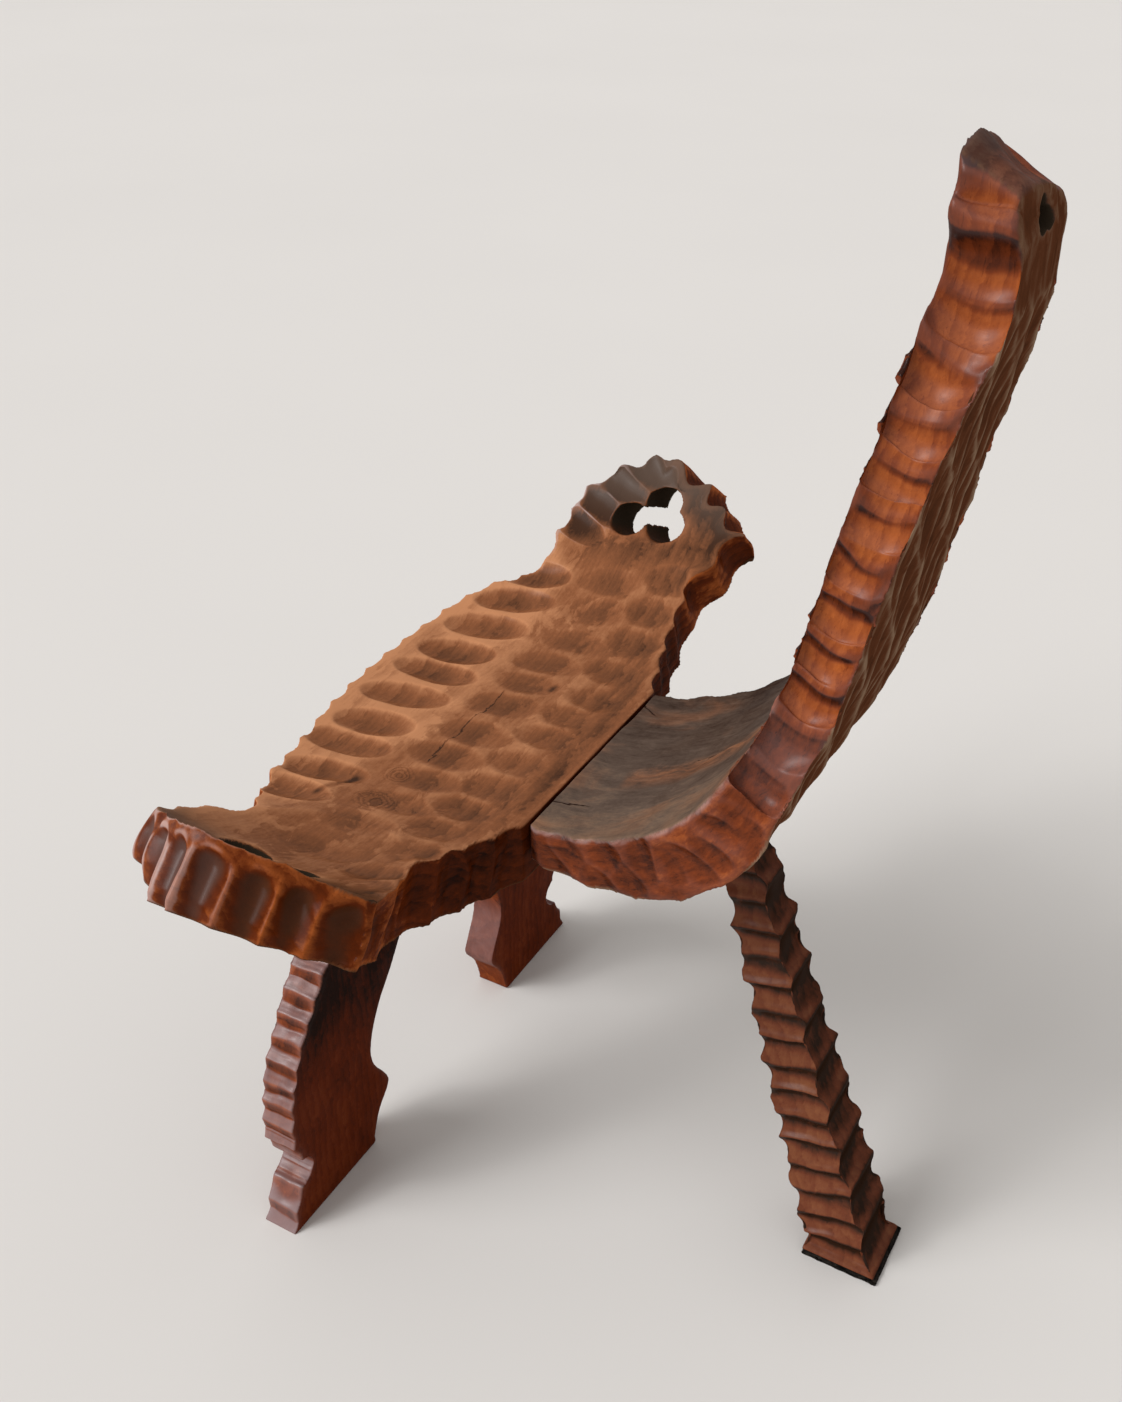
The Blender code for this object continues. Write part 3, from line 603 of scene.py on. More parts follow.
def scoops(u, v, places, depth, softness=1.0):
    """Depth of oval gouges. Each place is its middle, half sizes, turn and share of the depth."""
    field = np.zeros(len(u))
    for middle_u, middle_v, half_u, half_v, turn, share in places:
        du = u - middle_u
        dv = v - middle_v
        along = (du * math.cos(turn) + dv * math.sin(turn)) / half_u
        across = (dv * math.cos(turn) - du * math.sin(turn)) / half_v
        bowl = np.maximum(1.0 - along ** 2 - across ** 2, 0.0) ** softness
        field = np.maximum(field, depth * share * bowl)
    return field


def row(draw, first, last, pitch, v, half_u, half_v, turn):
    """Places of a hand-spaced row of gouges along u."""
    count = max(2, round(abs(last - first) / pitch) + 1)
    places = []
    for u in np.linspace(first, last, count):
        size = draw.uniform(0.9, 1.1)
        places.append((u + draw.normal(0.0, 0.09 * pitch), v + draw.normal(0.0, 0.003),
                       half_u * size, half_v * draw.uniform(0.92, 1.08),
                       turn + draw.normal(0.0, 0.05), draw.uniform(0.75, 1.1)))
    return places


def seat_unrolled(points):
    """Reach along the curled seat, depth behind the joint and height above the top face."""
    x = points[:, 0] - CENTRE_X
    beyond = np.maximum(np.abs(x) - SEAT_LEVEL_HALF, 0.0)
    below = SEAT_CURL_RADIUS - (points[:, 2] - SEAT_HEIGHT)
    turn = np.arctan2(beyond, below)
    reach = np.minimum(np.abs(x), SEAT_LEVEL_HALF) + SEAT_CURL_RADIUS * turn
    height = SEAT_CURL_RADIUS - np.hypot(beyond, below)
    upward = np.column_stack([-np.sign(x) * np.sin(turn), np.zeros(len(x)), np.cos(turn)])
    return np.sign(x) * reach, points[:, 1] - JOINT_Y, height, upward


def back_line(steps=600):
    """Distances, places and slopes along the back plank's front face, from below the joint up."""
    low = LOW_BEND_RADIUS * (BEND_SLOPE - JOINT_SLOPE)
    high = HIGH_BEND_RADIUS * (BACK_SLOPE - BEND_SLOPE)
    crown = CROWN_BEND_RADIUS * (CROWN_SLOPE - BACK_SLOPE)
    marks = [0.0, low, low + high, CROWN_BEND_AT, CROWN_BEND_AT + crown]
    slopes = [JOINT_SLOPE, BEND_SLOPE, BACK_SLOPE, BACK_SLOPE, CROWN_SLOPE]
    distance = np.linspace(-0.02, BACK_LENGTH + 0.03, steps)
    slope = np.interp(distance, marks, slopes)
    step = distance[1] - distance[0]
    y = np.cumsum(np.cos(slope)) * step
    z = np.cumsum(np.sin(slope)) * step
    y += JOINT_Y - np.interp(0.0, distance, y)
    z += SEAT_HEIGHT - np.interp(0.0, distance, z)
    return distance, y, z, slope


def back_unrolled(points):
    """Distance along the back plank, place across it and height above its front face."""
    distance, y, z, slope = back_line()
    nearest = np.empty(len(points), dtype=np.int64)
    for part in np.array_split(np.arange(len(points)), 40):
        gap = (points[part, 1, None] - y) ** 2 + (points[part, 2, None] - z) ** 2
        nearest[part] = gap.argmin(axis=1)
    dy = points[:, 1] - y[nearest]
    dz = points[:, 2] - z[nearest]
    lean = slope[nearest]
    along = distance[nearest] + dy * np.cos(lean) + dz * np.sin(lean)
    height = dz * np.cos(lean) - dy * np.sin(lean)
    forward = np.column_stack([np.zeros(len(points)), -np.sin(lean), np.cos(lean)])
    return along, points[:, 0] - CENTRE_X, height, forward


def seat_point(reach, depth, height):
    """A place on the curled seat, from where it is when unrolled."""
    side = math.copysign(1.0, reach)
    turn = max(abs(reach) - SEAT_LEVEL_HALF, 0.0) / SEAT_CURL_RADIUS
    run = SEAT_CURL_RADIUS - height
    x = min(abs(reach), SEAT_LEVEL_HALF) + run * math.sin(turn)
    z = SEAT_HEIGHT + SEAT_CURL_RADIUS - run * math.cos(turn)
    return Vector((CENTRE_X + side * x, JOINT_Y + depth, z))


def placed(name, data):
    """A new object in the scene."""
    made = bpy.data.objects.new(name, data)
    bpy.context.scene.collection.objects.link(made)
    return made


def mesh_from(work, name):
    """A mesh from a finished bmesh."""
    mesh = bpy.data.meshes.new(name)
    work.to_mesh(mesh)
    work.free()
    return mesh


def lofted(name, rings):
    """A closed solid through rings of points, to fill or to cut with."""
    work = bmesh.new()
    made = [[work.verts.new(point) for point in ring] for ring in rings]
    for first, second in zip(made, made[1:]):
        for index in range(len(first)):
            after = (index + 1) % len(first)
            work.faces.new((first[index], first[after], second[after], second[index]))
    work.faces.new(made[0])
    work.faces.new(made[-1])
    bmesh.ops.recalc_face_normals(work, faces=work.faces)
    return placed(name, mesh_from(work, name))


def far_hole_tools():
    """A plug that closes the far head, and the drills that open it again aslant."""
    rings = []
    for reach in np.linspace(*FAR_PLUG_REACH, FAR_PLUG_RINGS):
        rings.append([seat_point(-reach, FAR_PLUG_DEPTH[first], FAR_PLUG_HEIGHT[second])
                      for first, second in ((0, 0), (1, 0), (1, 1), (0, 1))])
    tools = [(lofted("far_plug", rings), "UNION")]
    for reach, depth, radius in FAR_DRILLS:
        rings = []
        for travel in FAR_DRILL_TRAVEL:
            moved = [travel * part for part in FAR_DRILL_LEAN]
            ring = []
            for angle in np.linspace(0.0, 2.0 * math.pi, FAR_DRILL_SIDES, endpoint=False):
                ring.append(seat_point(-(reach + moved[0] + radius * math.cos(angle)),
                                       depth + moved[1] + radius * math.sin(angle), moved[2]))
            rings.append(ring)
        tools.append((lofted("far_drill", rings), "DIFFERENCE"))
    return tools


def fine_copy(node, name, grid, tools=()):
    """A fine, even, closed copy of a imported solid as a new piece, filled and cut by some tools."""
    work = bmesh.new()
    work.from_mesh(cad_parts[node].data)
    bmesh.ops.remove_doubles(work, verts=work.verts, dist=WELD_DISTANCE)
    coarse = placed(name + "_coarse", mesh_from(work, name))
    for tool, operation in tools:
        change = coarse.modifiers.new(tool.name, "BOOLEAN")
        change.operation = operation
        change.solver = "EXACT"
        change.object = tool
    skin = coarse.modifiers.new("fine skin", "REMESH")
    skin.mode = "VOXEL"
    skin.voxel_size = grid
    skin.use_smooth_shade = True
    now = coarse.evaluated_get(bpy.context.evaluated_depsgraph_get())
    fine = bpy.data.meshes.new_from_object(now)
    fine.materials.clear()
    for used in [coarse] + [tool for tool, _ in tools]:
        bpy.data.objects.remove(used, do_unlink=True)
    if len(fine.vertices) == 0:
        raise RuntimeError(f"the fine copy of {node} is empty")
    fine.name = name
    return placed(name, fine)


def face_shares(normals, outward):
    """How much each point belongs to the outer face, the inner face and the edge of a plank."""
    facing = (normals * outward).sum(axis=1)
    edge = smooth_share(1.0 - np.abs(facing), *EDGE_TURN)
    return smooth_share(facing, *FACE_TURN), smooth_share(-facing, *FACE_TURN), edge


def seat_sideways(upward, side):
    """Direction along the curled seat towards one end, from the direction out of its top."""
    return np.column_stack([upward[:, 2] * side, np.zeros(len(upward)), -upward[:, 0] * side])


def hand_over(piece, node, material):
    """Finish a piece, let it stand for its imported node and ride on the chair."""
    piece.data.materials.append(material)
    piece.data.shade_smooth()
    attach(piece, "root")
    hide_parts(node)


def keep_hollows(skin):
    """Keep how far each point is down a hollow, or out on a rounded ridge or a crisp arris."""
    broad = skin.cavity(HOLLOW_REACH)
    fine = skin.cavity(ARRIS_REACH)
    skin.keep("hollow", np.clip(broad / HOLLOW_DEPTH, 0.0, 1.0))
    skin.keep("ridge", np.clip(-broad / HOLLOW_DEPTH, 0.0, 1.0))
    skin.keep("arris", np.clip(-fine / ARRIS_HEIGHT, 0.0, 1.0))


def smooth_line(knots, count):
    """Evenly spaced points on a Catmull-Rom curve through the knots."""
    knots = np.array(knots)
    knots = np.vstack([2.0 * knots[0] - knots[1], knots, 2.0 * knots[-1] - knots[-2]])
    share = np.linspace(0.0, 1.0, 24, endpoint=False)[:, None]
    parts = []
    for a, b, c, d in zip(knots, knots[1:], knots[2:], knots[3:]):
        square = 2.0 * a - 5.0 * b + 4.0 * c - d
        cube = 3.0 * b - a - 3.0 * c + d
        parts.append(0.5 * (2.0 * b + (c - a) * share + square * share ** 2 + cube * share ** 3))
    dense = np.vstack(parts + [knots[-2:-1]])
    travel = np.concatenate([[0.0], np.cumsum(np.linalg.norm(np.diff(dense, axis=0), axis=1))])
    marks = np.linspace(0.0, travel[-1], count)
    return np.column_stack([np.interp(marks, travel, dense[:, axis]) for axis in (0, 1)])


class EdgeRun:
    """The points near one run of the seat's edge, placed along it, in from it and down it."""

    def __init__(self, unrolled, knots, side, even_count):
        reach, depth, height, upward = unrolled
        line = smooth_line(knots, EDGE_STEPS)
        tangent = np.gradient(line, axis=0)
        tangent /= np.linalg.norm(tangent, axis=1)[:, None]
        low = line.min(axis=0) - EDGE_REACH
        high = line.max(axis=0) + EDGE_REACH
        u = reach * side
        inside = (u > low[0]) & (u < high[0]) & (depth > low[1]) & (depth < high[1])
        chosen = np.flatnonzero(inside)
        gap = (u[chosen, None] - line[:, 0]) ** 2 + (depth[chosen, None] - line[:, 1]) ** 2
        nearest = gap.argmin(axis=1)
        own = (nearest > 0) & (nearest < len(line) - 1)
        self.chosen = chosen[own]
        nearest = nearest[own]
        out = np.column_stack([tangent[nearest, 1], -tangent[nearest, 0]])
        place = np.column_stack([u[self.chosen], depth[self.chosen]])
        self.inset = ((line[nearest] - place) * out).sum(axis=1)
        self.share = nearest / (len(line) - 1.0)
        self.down = np.clip(-height[self.chosen] / HEAD_THICKNESS[side], 0.0, 1.0)
        sideways = seat_sideways(upward[self.chosen], side)
        self.outward = sideways * out[:, :1] + np.array([0.0, 1.0, 0.0]) * out[:, 1:]
        self.near = 1.0 - smooth_share(self.inset, *EDGE_FADE)
        self.taper = smooth_share(self.share, 0.0, EDGE_TAPER)
        self.taper *= smooth_share(1.0 - self.share, 0.0, EDGE_TAPER)
        self.even = SEAT_HOLLOW_DEPTH * np.sin(math.pi * np.mod(self.share * even_count, 1.0))

    def off_middle(self, count, sway=0.0):
        """Place between the ridges of a row of hollows, from minus one to one."""
        return 2.0 * np.mod(self.share * count + sway * np.sin(17.0 * self.share), 1.0) - 1.0

    def move(self, skin, outward):
        """Move the run's points out from the plank, less the further in they are."""
        skin.points[self.chosen] += self.outward * (outward * self.near)[:, None]


def worn_bowl(off):
    """Section of a gouge with slightly rounded ridges, one in its middle."""
    return 0.55 * (1.0 - off ** 2) + 0.225 * (1.0 + np.cos(math.pi * off))


def flute_near_head(skin, unrolled, flute):
    """Tall arched flutes under a smooth top arris, each with a small heel facet."""
    run = EdgeRun(unrolled, HEAD_END, 1.0, HEAD_HOLLOWS)
    off = run.off_middle(HEAD_HOLLOWS, 0.08)
    arch = 0.06 + 0.12 * run.share + 0.24 * off ** 2
    groove = flute * worn_bowl(off) * smooth_share(run.down, arch, arch + 0.20)
    heel = NEAR_HEEL * np.clip((run.down - 0.80 - 0.12 * off ** 2) / 0.2, 0.0, 1.0) * run.taper
    fill = run.even * (1.0 - smooth_share(run.down, 0.10, 0.30))
    run.move(skin, fill - groove - heel)
    run = EdgeRun(unrolled, HEAD_FLANK, 1.0, FLANK_HOLLOWS)
    off = run.off_middle(2.0)
    run.move(skin, run.even - 0.7 * flute * worn_bowl(off) * smooth_share(run.down, 0.05, 0.45) * run.taper)


def flute_far_head(skin, unrolled, flute):
    """Bold scallops round the far head, sloped to show on its rear side."""
    run = EdgeRun(unrolled, HEAD_END, -1.0, HEAD_HOLLOWS)
    off = run.off_middle(FAR_HEAD_HOLLOWS, 0.10)
    wave = 0.5 + 0.5 * np.cos(math.pi * off)
    sloped = smooth_share(run.share, 0.40, 0.60) * run.taper
    bevel = FAR_HEAD_BEVEL * (1.0 - run.down) * (0.4 + 0.6 * wave)
    run.move(skin, run.even - 1.1 * flute * wave * (1.0 - 0.5 * sloped) - bevel * sloped)
    run = EdgeRun(unrolled, HEAD_FLANK, -1.0, FLANK_HOLLOWS)
    wave = 0.5 + 0.5 * np.cos(math.pi * run.off_middle(2.0))
    bevel = 0.6 * FAR_HEAD_BEVEL * (1.0 - run.down)
    run.move(skin, run.even - (1.3 * flute * wave + bevel) * run.taper)


def blunt_corner(skin, unrolled, side, place):
    """Round off one corner of a head."""
    reach, depth, _, upward = unrolled
    corner, out, size = place
    first = reach * side - corner[0]
    second = depth - corner[1]
    beyond = np.maximum(first * out[0] + second * out[1] + size, 0.0)
    beyond *= 1.0 - smooth_share(np.hypot(first, second), *CORNER_FADE)
    direction = seat_sideways(upward, side) * out[0] + np.array([0.0, out[1], 0.0])
    skin.points = skin.points - direction * (CORNER_BLUNTING * beyond)[:, None]


def swell_corner(skin, unrolled, side, place):
    """Let one corner of a head swell out at half its thickness and draw in below."""
    reach, depth, height, upward = unrolled
    corner, out, _ = place
    away = np.hypot(reach * side - corner[0], depth - corner[1])
    down = np.clip(-height / HEAD_THICKNESS[side], 0.0, 1.0)
    swell = np.sin(math.pi * down) - 0.9 * smooth_share(down, 0.6, 1.0)
    swell *= CORNER_SWELL * (1.0 - smooth_share(away, *CORNER_SWELL_FADE))
    direction = seat_sideways(upward, side) * out[0] + np.array([0.0, out[1], 0.0])
    skin.points = skin.points + direction * swell[:, None]


def seat_gouges(draw):
    """Places of the rows of gouges on the seat: middle, half sizes, turn and share."""
    front = row(draw, *FRONT_ROW)
    for reach, depth in FAR_HEAD_GOUGES:
        front.append((reach, depth, *FAR_GOUGE_SIZE, FAR_GOUGE_TURN, FAR_GOUGE_SHARE))
    return front, row(draw, *MIDDLE_ROW), row(draw, *REAR_ROW)


def carve_seat(sizes):
    """The saddle seat with its rows of gouges and fluted heads."""
    piece = fine_copy("seat_plank", "seat_carved", sizes.grid, far_hole_tools())
    skin = Skin(piece)
    skin.smooth(7)
    unrolled = seat_unrolled(skin.points)
    reach, depth, height, upward = unrolled
    normals = skin.normals()
    top, under, edge = face_shares(normals, upward)
    hole = np.zeros(len(reach))
    for side in (-1.0, 1.0):
        apart = np.hypot(reach - side * TREFOIL_REACH, depth - TREFOIL_DEPTH)
        hole += edge * (apart < TREFOIL_RADIUS)
    taper = hole * np.clip(-height / HOLE_TAPER_DEPTH, 0.0, 1.0) * HOLE_TAPER * (reach > 0.0)
    skin.points = skin.points + normals * taper[:, None]
    flute_near_head(skin, unrolled, sizes.head_flute)
    flute_far_head(skin, unrolled, sizes.head_flute)
    for side in (-1.0, 1.0):
        blunt_corner(skin, unrolled, side, FRONT_CORNER)
        blunt_corner(skin, unrolled, side, REAR_CORNER)
    swell_corner(skin, unrolled, 1.0, FRONT_CORNER)
    rear_corner = np.hypot(reach - HEAD_END[-1][0], depth - HEAD_END[-1][1])
    sink = scoops(reach, depth, NEAR_HEAD_DISH, NEAR_DISH_DEPTH)
    sink += CORNER_SLOPE * np.clip(1.0 - rear_corner / CORNER_SLOPE_REACH, 0.0, 1.0)
    sink *= np.clip(1.0 + height / HEAD_THICKNESS[1.0], 0.0, 1.0)
    skin.points = skin.points - upward * sink[:, None]
    skin.waver(np.outer(edge * smooth_share(depth, -0.030, -0.010), SIDE), *SEAT_WAVER)
    cavity = skin.cavity(SEAT_CAVITY_REACH)
    at_head = smooth_share(np.abs(reach), *HEAD_FROM)
    deeper = 1.2 * np.clip(cavity, 0.0, sizes.edge_gouge) * edge * (1.0 - hole) * (1.0 - at_head)
    front, middle, rear = seat_gouges(np.random.default_rng(SEAT_SEED))
    gouge = scoops(reach, depth, front, sizes.front_gouge, FRONT_SOFTNESS)
    gouge = np.maximum(gouge, scoops(reach, depth, middle, sizes.middle_gouge, ROW_SOFTNESS))
    gouge = np.maximum(gouge, scoops(reach, depth, rear, sizes.rear_gouge, ROW_SOFTNESS))
    plane = sizes.unevenness * (1.0 + wander(skin.points, PLANE_SCALE, 3))
    near_top = 1.0 - smooth_share(-height, *GOUGE_FADE)
    skin.points = skin.points - upward * (gouge * (1.0 - under) * near_top)[:, None]
    skin.cut(deeper + plane * (1.0 - under) * (1.0 - hole))
    skin.smooth(1)
    skin.soften(edge * (1.0 - hole), 3)
    front_corner = np.hypot(np.abs(reach) - FRONT_CORNER[0][0], depth - FRONT_CORNER[0][1])
    skin.soften(1.0 - smooth_share(front_corner, *CORNER_SOFT), 14)
    skin.hold("seat_plank")
    keep_hollows(skin)
    skin.keep("tilt", (skin.normals() * upward).sum(axis=1))
    skin.keep("grain", np.column_stack([reach, depth, height]))
    skin.keep("top", top)
    skin.keep("under", under)
    skin.keep("hole", hole)
    skin.keep("gouge", np.clip(gouge / sizes.front_gouge, 0.0, 1.0) * top)
    skin.write()
    return piece


def edge_hollows(draw, span, count):
    """Places of the hollows along one edge of the back, evenly spaced and unevenly cut."""
    pitch = (span[1] - span[0]) / count
    places = []
    for index in range(count):
        middle = span[0] + (index + 0.5) * pitch
        places.append((middle, draw.normal(0.0, 0.003), 0.62 * pitch, draw.uniform(0.018, 0.022),
                       draw.normal(0.0, 0.15), draw.uniform(0.7, 1.2)))
    return places


def bend_ovals(draw):
    """Places of the uneven ovals along the edge of the bend, bolder up the bend."""
    places = []
    for index, along in enumerate(np.arange(0.012, 0.158, 0.0125)):
        middle = BEND_OVAL_SHIFT * (1 if index % 2 else -1)
        places.append((along + draw.normal(0.0, 0.0025), middle + draw.normal(0.0, 0.003),
                       draw.uniform(0.0085, 0.0125), draw.uniform(0.012, 0.022), draw.normal(0.10, 0.35),
                       (0.35 + 0.65 * along / 0.155) * draw.uniform(0.6, 1.1)))
    return places


def long_strokes(draw):
    """Places of the long crossing strokes down the faces of the back."""
    places = []
    for column, x in enumerate(np.arange(-0.090, 0.091, 0.020)):
        for along in np.arange(0.090 + 0.021 * (column % 2), 0.46, 0.042):
            lean = 0.50 if (column + round(along / 0.021)) % 2 else -0.35
            places.append((x + draw.normal(0.0, 0.002), along + draw.normal(0.0, 0.004),
                           draw.uniform(0.0100, 0.0130), draw.uniform(0.028, 0.036),
                           lean + draw.normal(0.0, 0.08), draw.uniform(0.7, 1.1)))
    return places


def carve_back(sizes):
    """The bent back plank with hollows along its edges and long strokes down its faces."""
    piece = fine_copy("back_plank", "back_carved", sizes.grid)
    skin = Skin(piece)
    skin.smooth(12)
    along, across, height, forward = back_unrolled(skin.points)
    upward = np.column_stack([np.zeros(len(along)), forward[:, 2], -forward[:, 1]])
    normals = skin.normals()
    front, rear, edge = face_shares(normals, forward)
    from_hole = np.hypot(across, along - CROWN_HOLE_AT)
    hole = edge * (from_hole < CROWN_HOLE_RADIUS)
    edge = edge * (1.0 - hole) * smooth_share(along, 0.001, 0.006)
    sideways = edge * smooth_share(np.abs(normals[:, 0]), 0.35, 0.70)
    thickness = np.interp(along, BACK_THICKNESS_AT, BACK_THICKNESS)
    off_middle = height + 0.5 * thickness
    bend_share = (along - BEND_EDGE[0]) / (BEND_EDGE[1] - BEND_EDGE[0])
    on_bend = sideways * (1.0 - smooth_share(bend_share, 0.97, 1.04))
    on_side = sideways - on_bend
    even = BACK_HOLLOW_DEPTH * np.sin(math.pi * np.mod(bend_share * BEND_HOLLOWS, 1.0))
    skin.points[:, 0] += np.sign(across) * even * on_bend
    skin.soften(on_bend, 10)
    below_crown = 1.0 - smooth_share(along, 0.405, 0.430)
    sag = EDGE_SAG * np.clip(1.0 - (2.0 * off_middle / thickness) ** 2, 0.0, 1.0) * on_side * below_crown
    skin.points = skin.points - upward * sag[:, None]
    skin.waver(upward * on_side[:, None], *BACK_WAVER)
    by_hole = 1.0 - smooth_share(from_hole, CROWN_HOLE_RADIUS, 2.0 * CROWN_HOLE_RADIUS)
    short = CROWN_HOLE_SHORTER * by_hole
    skin.points = skin.points - upward * (short * (along - CROWN_HOLE_AT))[:, None]
    skin.points[:, 0] += np.sign(across) * CROWN_BULGE * sideways * smooth_share(along, 0.402, 0.424)
    swell = CROWN_SWELL * smooth_share(along, 0.330, 0.400) * 2.0 * off_middle / thickness
    eased = smooth_share(-across, 0.010, 0.040) * smooth_share(along, 0.200, 0.260)
    swell -= FAR_EASE * eased * smooth_share(off_middle, 0.0, 0.006)
    skin.points = skin.points + forward * swell[:, None]
    draw = np.random.default_rng(BACK_SEED)
    deeper = np.zeros(len(along))
    for side in (-1.0, 1.0):
        hollows = edge_hollows(draw, SIDE_EDGE, SIDE_HOLLOWS)
        hollows += edge_hollows(draw, CROWN_EDGE, CROWN_HOLLOWS)
        bowls = scoops(along + EDGE_SAG, off_middle, hollows, BOWL_GAIN * sizes.edge_gouge) * on_side
        ovals = scoops(along, off_middle, bend_ovals(draw), OVAL_GAIN * sizes.edge_gouge) * on_bend
        deeper += (bowls + ovals) * (across * side > 0.0)
    strokes = scoops(across, along, long_strokes(draw), sizes.lattice_gouge)
    strokes *= rear + 0.5 * front * smooth_share(along, *FRONT_STROKES_FROM)
    strokes *= smooth_share(from_hole, CROWN_HOLE_RADIUS, CROWN_HOLE_RADIUS + 0.008)
    plane = sizes.unevenness * (1.0 + wander(skin.points, PLANE_SCALE, 5)) * (1.0 - hole)
    skin.cut(strokes + deeper + plane)
    skin.smooth(1)
    skin.soften(0.4 * edge, 5)
    skin.soften(smooth_share(along, 0.392, 0.412), 9)
    rising = (skin.normals() * upward).sum(axis=1)
    end_up = smooth_share(rising, 0.25, 0.60) * smooth_share(along, 0.415, 0.425)
    target = CROWN_TOP[0] + CROWN_TOP[1] * across + CROWN_TOP[2] * across ** 2 + CROWN_TOP_LEAN * height
    lift = np.clip(target - along, 0.0, 0.006) * end_up
    skin.points = skin.points + upward * skin.blurred(lift, 6)[:, None]
    skin.soften(smooth_share(along, 0.410, 0.425), 4)
    skin.hold("back_plank")
    keep_hollows(skin)
    skin.keep("tilt", (skin.normals() * upward).sum(axis=1))
    skin.keep("grain", np.column_stack([along, across, height]))
    skin.keep("top", front)
    skin.keep("under", rear)
    skin.keep("hole", hole)
    skin.keep("slate", front * smooth_share(-along, *SLATE_SPAN))
    skin.keep("gouge", np.clip(deeper / (1.6 * sizes.edge_gouge), 0.0, 1.0))
    skin.write()
    return piece


def along_height(points, values, chosen, step=0.0012):
    """Mean of some points' values at each height, for every point."""
    bins = np.round(points[:, 2] / step).astype(np.int64)
    total = np.bincount(bins[chosen], values[chosen], bins.max() + 1)
    count = np.bincount(bins[chosen], minlength=bins.max() + 1)
    return (total / np.maximum(count, 1))[bins]


def keep_upright(skin, rounds):
    """Keep how a leg's points tilt from its general form, and their place along its upright grain."""
    tilt = skin.normals()[:, 2]
    skin.keep("tilt", tilt - skin.blurred(tilt, rounds))
    skin.keep("grain", skin.points[:, [2, 0, 1]])


def carve_front_leg(node, name, seed, sizes):
    """A profiled board leg with small hollows on its outer edge."""
    piece = fine_copy(node, name, sizes.grid)
    skin = Skin(piece)
    skin.smooth(4)
    normals = skin.normals()
    side = 1.0 if skin.points[:, 0].mean() > CENTRE_X else -1.0
    edge = smooth_share(1.0 - np.abs(normals[:, 1]), 0.3, 0.7)
    outer = edge * smooth_share(normals[:, 0] * side, 0.3, 0.6)
    hollows = along_height(skin.points, skin.cavity(0.006), outer > 0.9)
    standing = smooth_share(skin.points[:, 2], 0.001, 0.006)
    plane = sizes.unevenness * (1.0 + wander(skin.points, LEG_PLANE_SCALE, seed))
    skin.waver(np.outer(outer * standing, UP), *FRONT_LEG_WAVER, seed + 1)
    skin.cut((LEG_HOLLOW_GAIN * np.clip(hollows, -0.0004, sizes.edge_gouge) * outer + plane) * standing)
    skin.smooth(1)
    skin.hold(node)
    keep_hollows(skin)
    keep_upright(skin, 90)
    skin.keep("edge", outer)
    skin.keep("inner", edge * smooth_share(-normals[:, 0] * side, 0.3, 0.6))
    skin.write()
    return piece


def carve_rear_leg(sizes):
    """The leaning post with hollows on every side."""
    piece = fine_copy("rear_leg", "rear_leg_carved", sizes.grid)
    skin = Skin(piece)
    skin.smooth(6)
    normals = skin.normals()
    z = skin.points[:, 2]
    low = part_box("rear_leg")[0].z
    standing = smooth_share(z, low + 0.001, low + 0.006)
    on_side = smooth_share(np.abs(normals[:, 0]), 0.4, 0.75)
    on_face = smooth_share(np.abs(normals[:, 1]), 0.4, 0.75) * (1.0 - on_side)
    side_hollow = np.sin(math.pi * np.mod((z - low) / POST_SIDE_PITCH, 1.0))
    face_hollow = np.sin(math.pi * np.mod((z - low) / POST_FACE_PITCH, 1.0))
    deeper = POST_DEEPER * (side_hollow * on_side + 1.4 * face_hollow * on_face)
    plane = sizes.unevenness * (1.0 + wander(skin.points, PLANE_SCALE, 9))
    skin.cut((deeper + plane) * standing)
    slant, start = np.polyfit(z, skin.points[:, 1], 1)
    behind = skin.points[:, 1] - (start + slant * z)
    raised = smooth_share(z, low + 0.004, low + 0.030)
    skin.points[:, 2] += POST_RISE * behind * raised
    skin.waver(np.outer(raised, UP), *POST_WAVER)
    skin.smooth(1)
    skin.soften(0.8 * raised, 12)
    skin.hold("rear_leg")
    keep_hollows(skin)
    keep_upright(skin, 120)
    turned = np.abs(skin.normals())
    skin.keep("rearward", smooth_share(skin.normals()[:, 1], 0.4, 0.8))
    skin.keep("corner", smooth_share(np.minimum(turned[:, 0], turned[:, 1]), 0.25, 0.55))
    skin.write()
    return piece


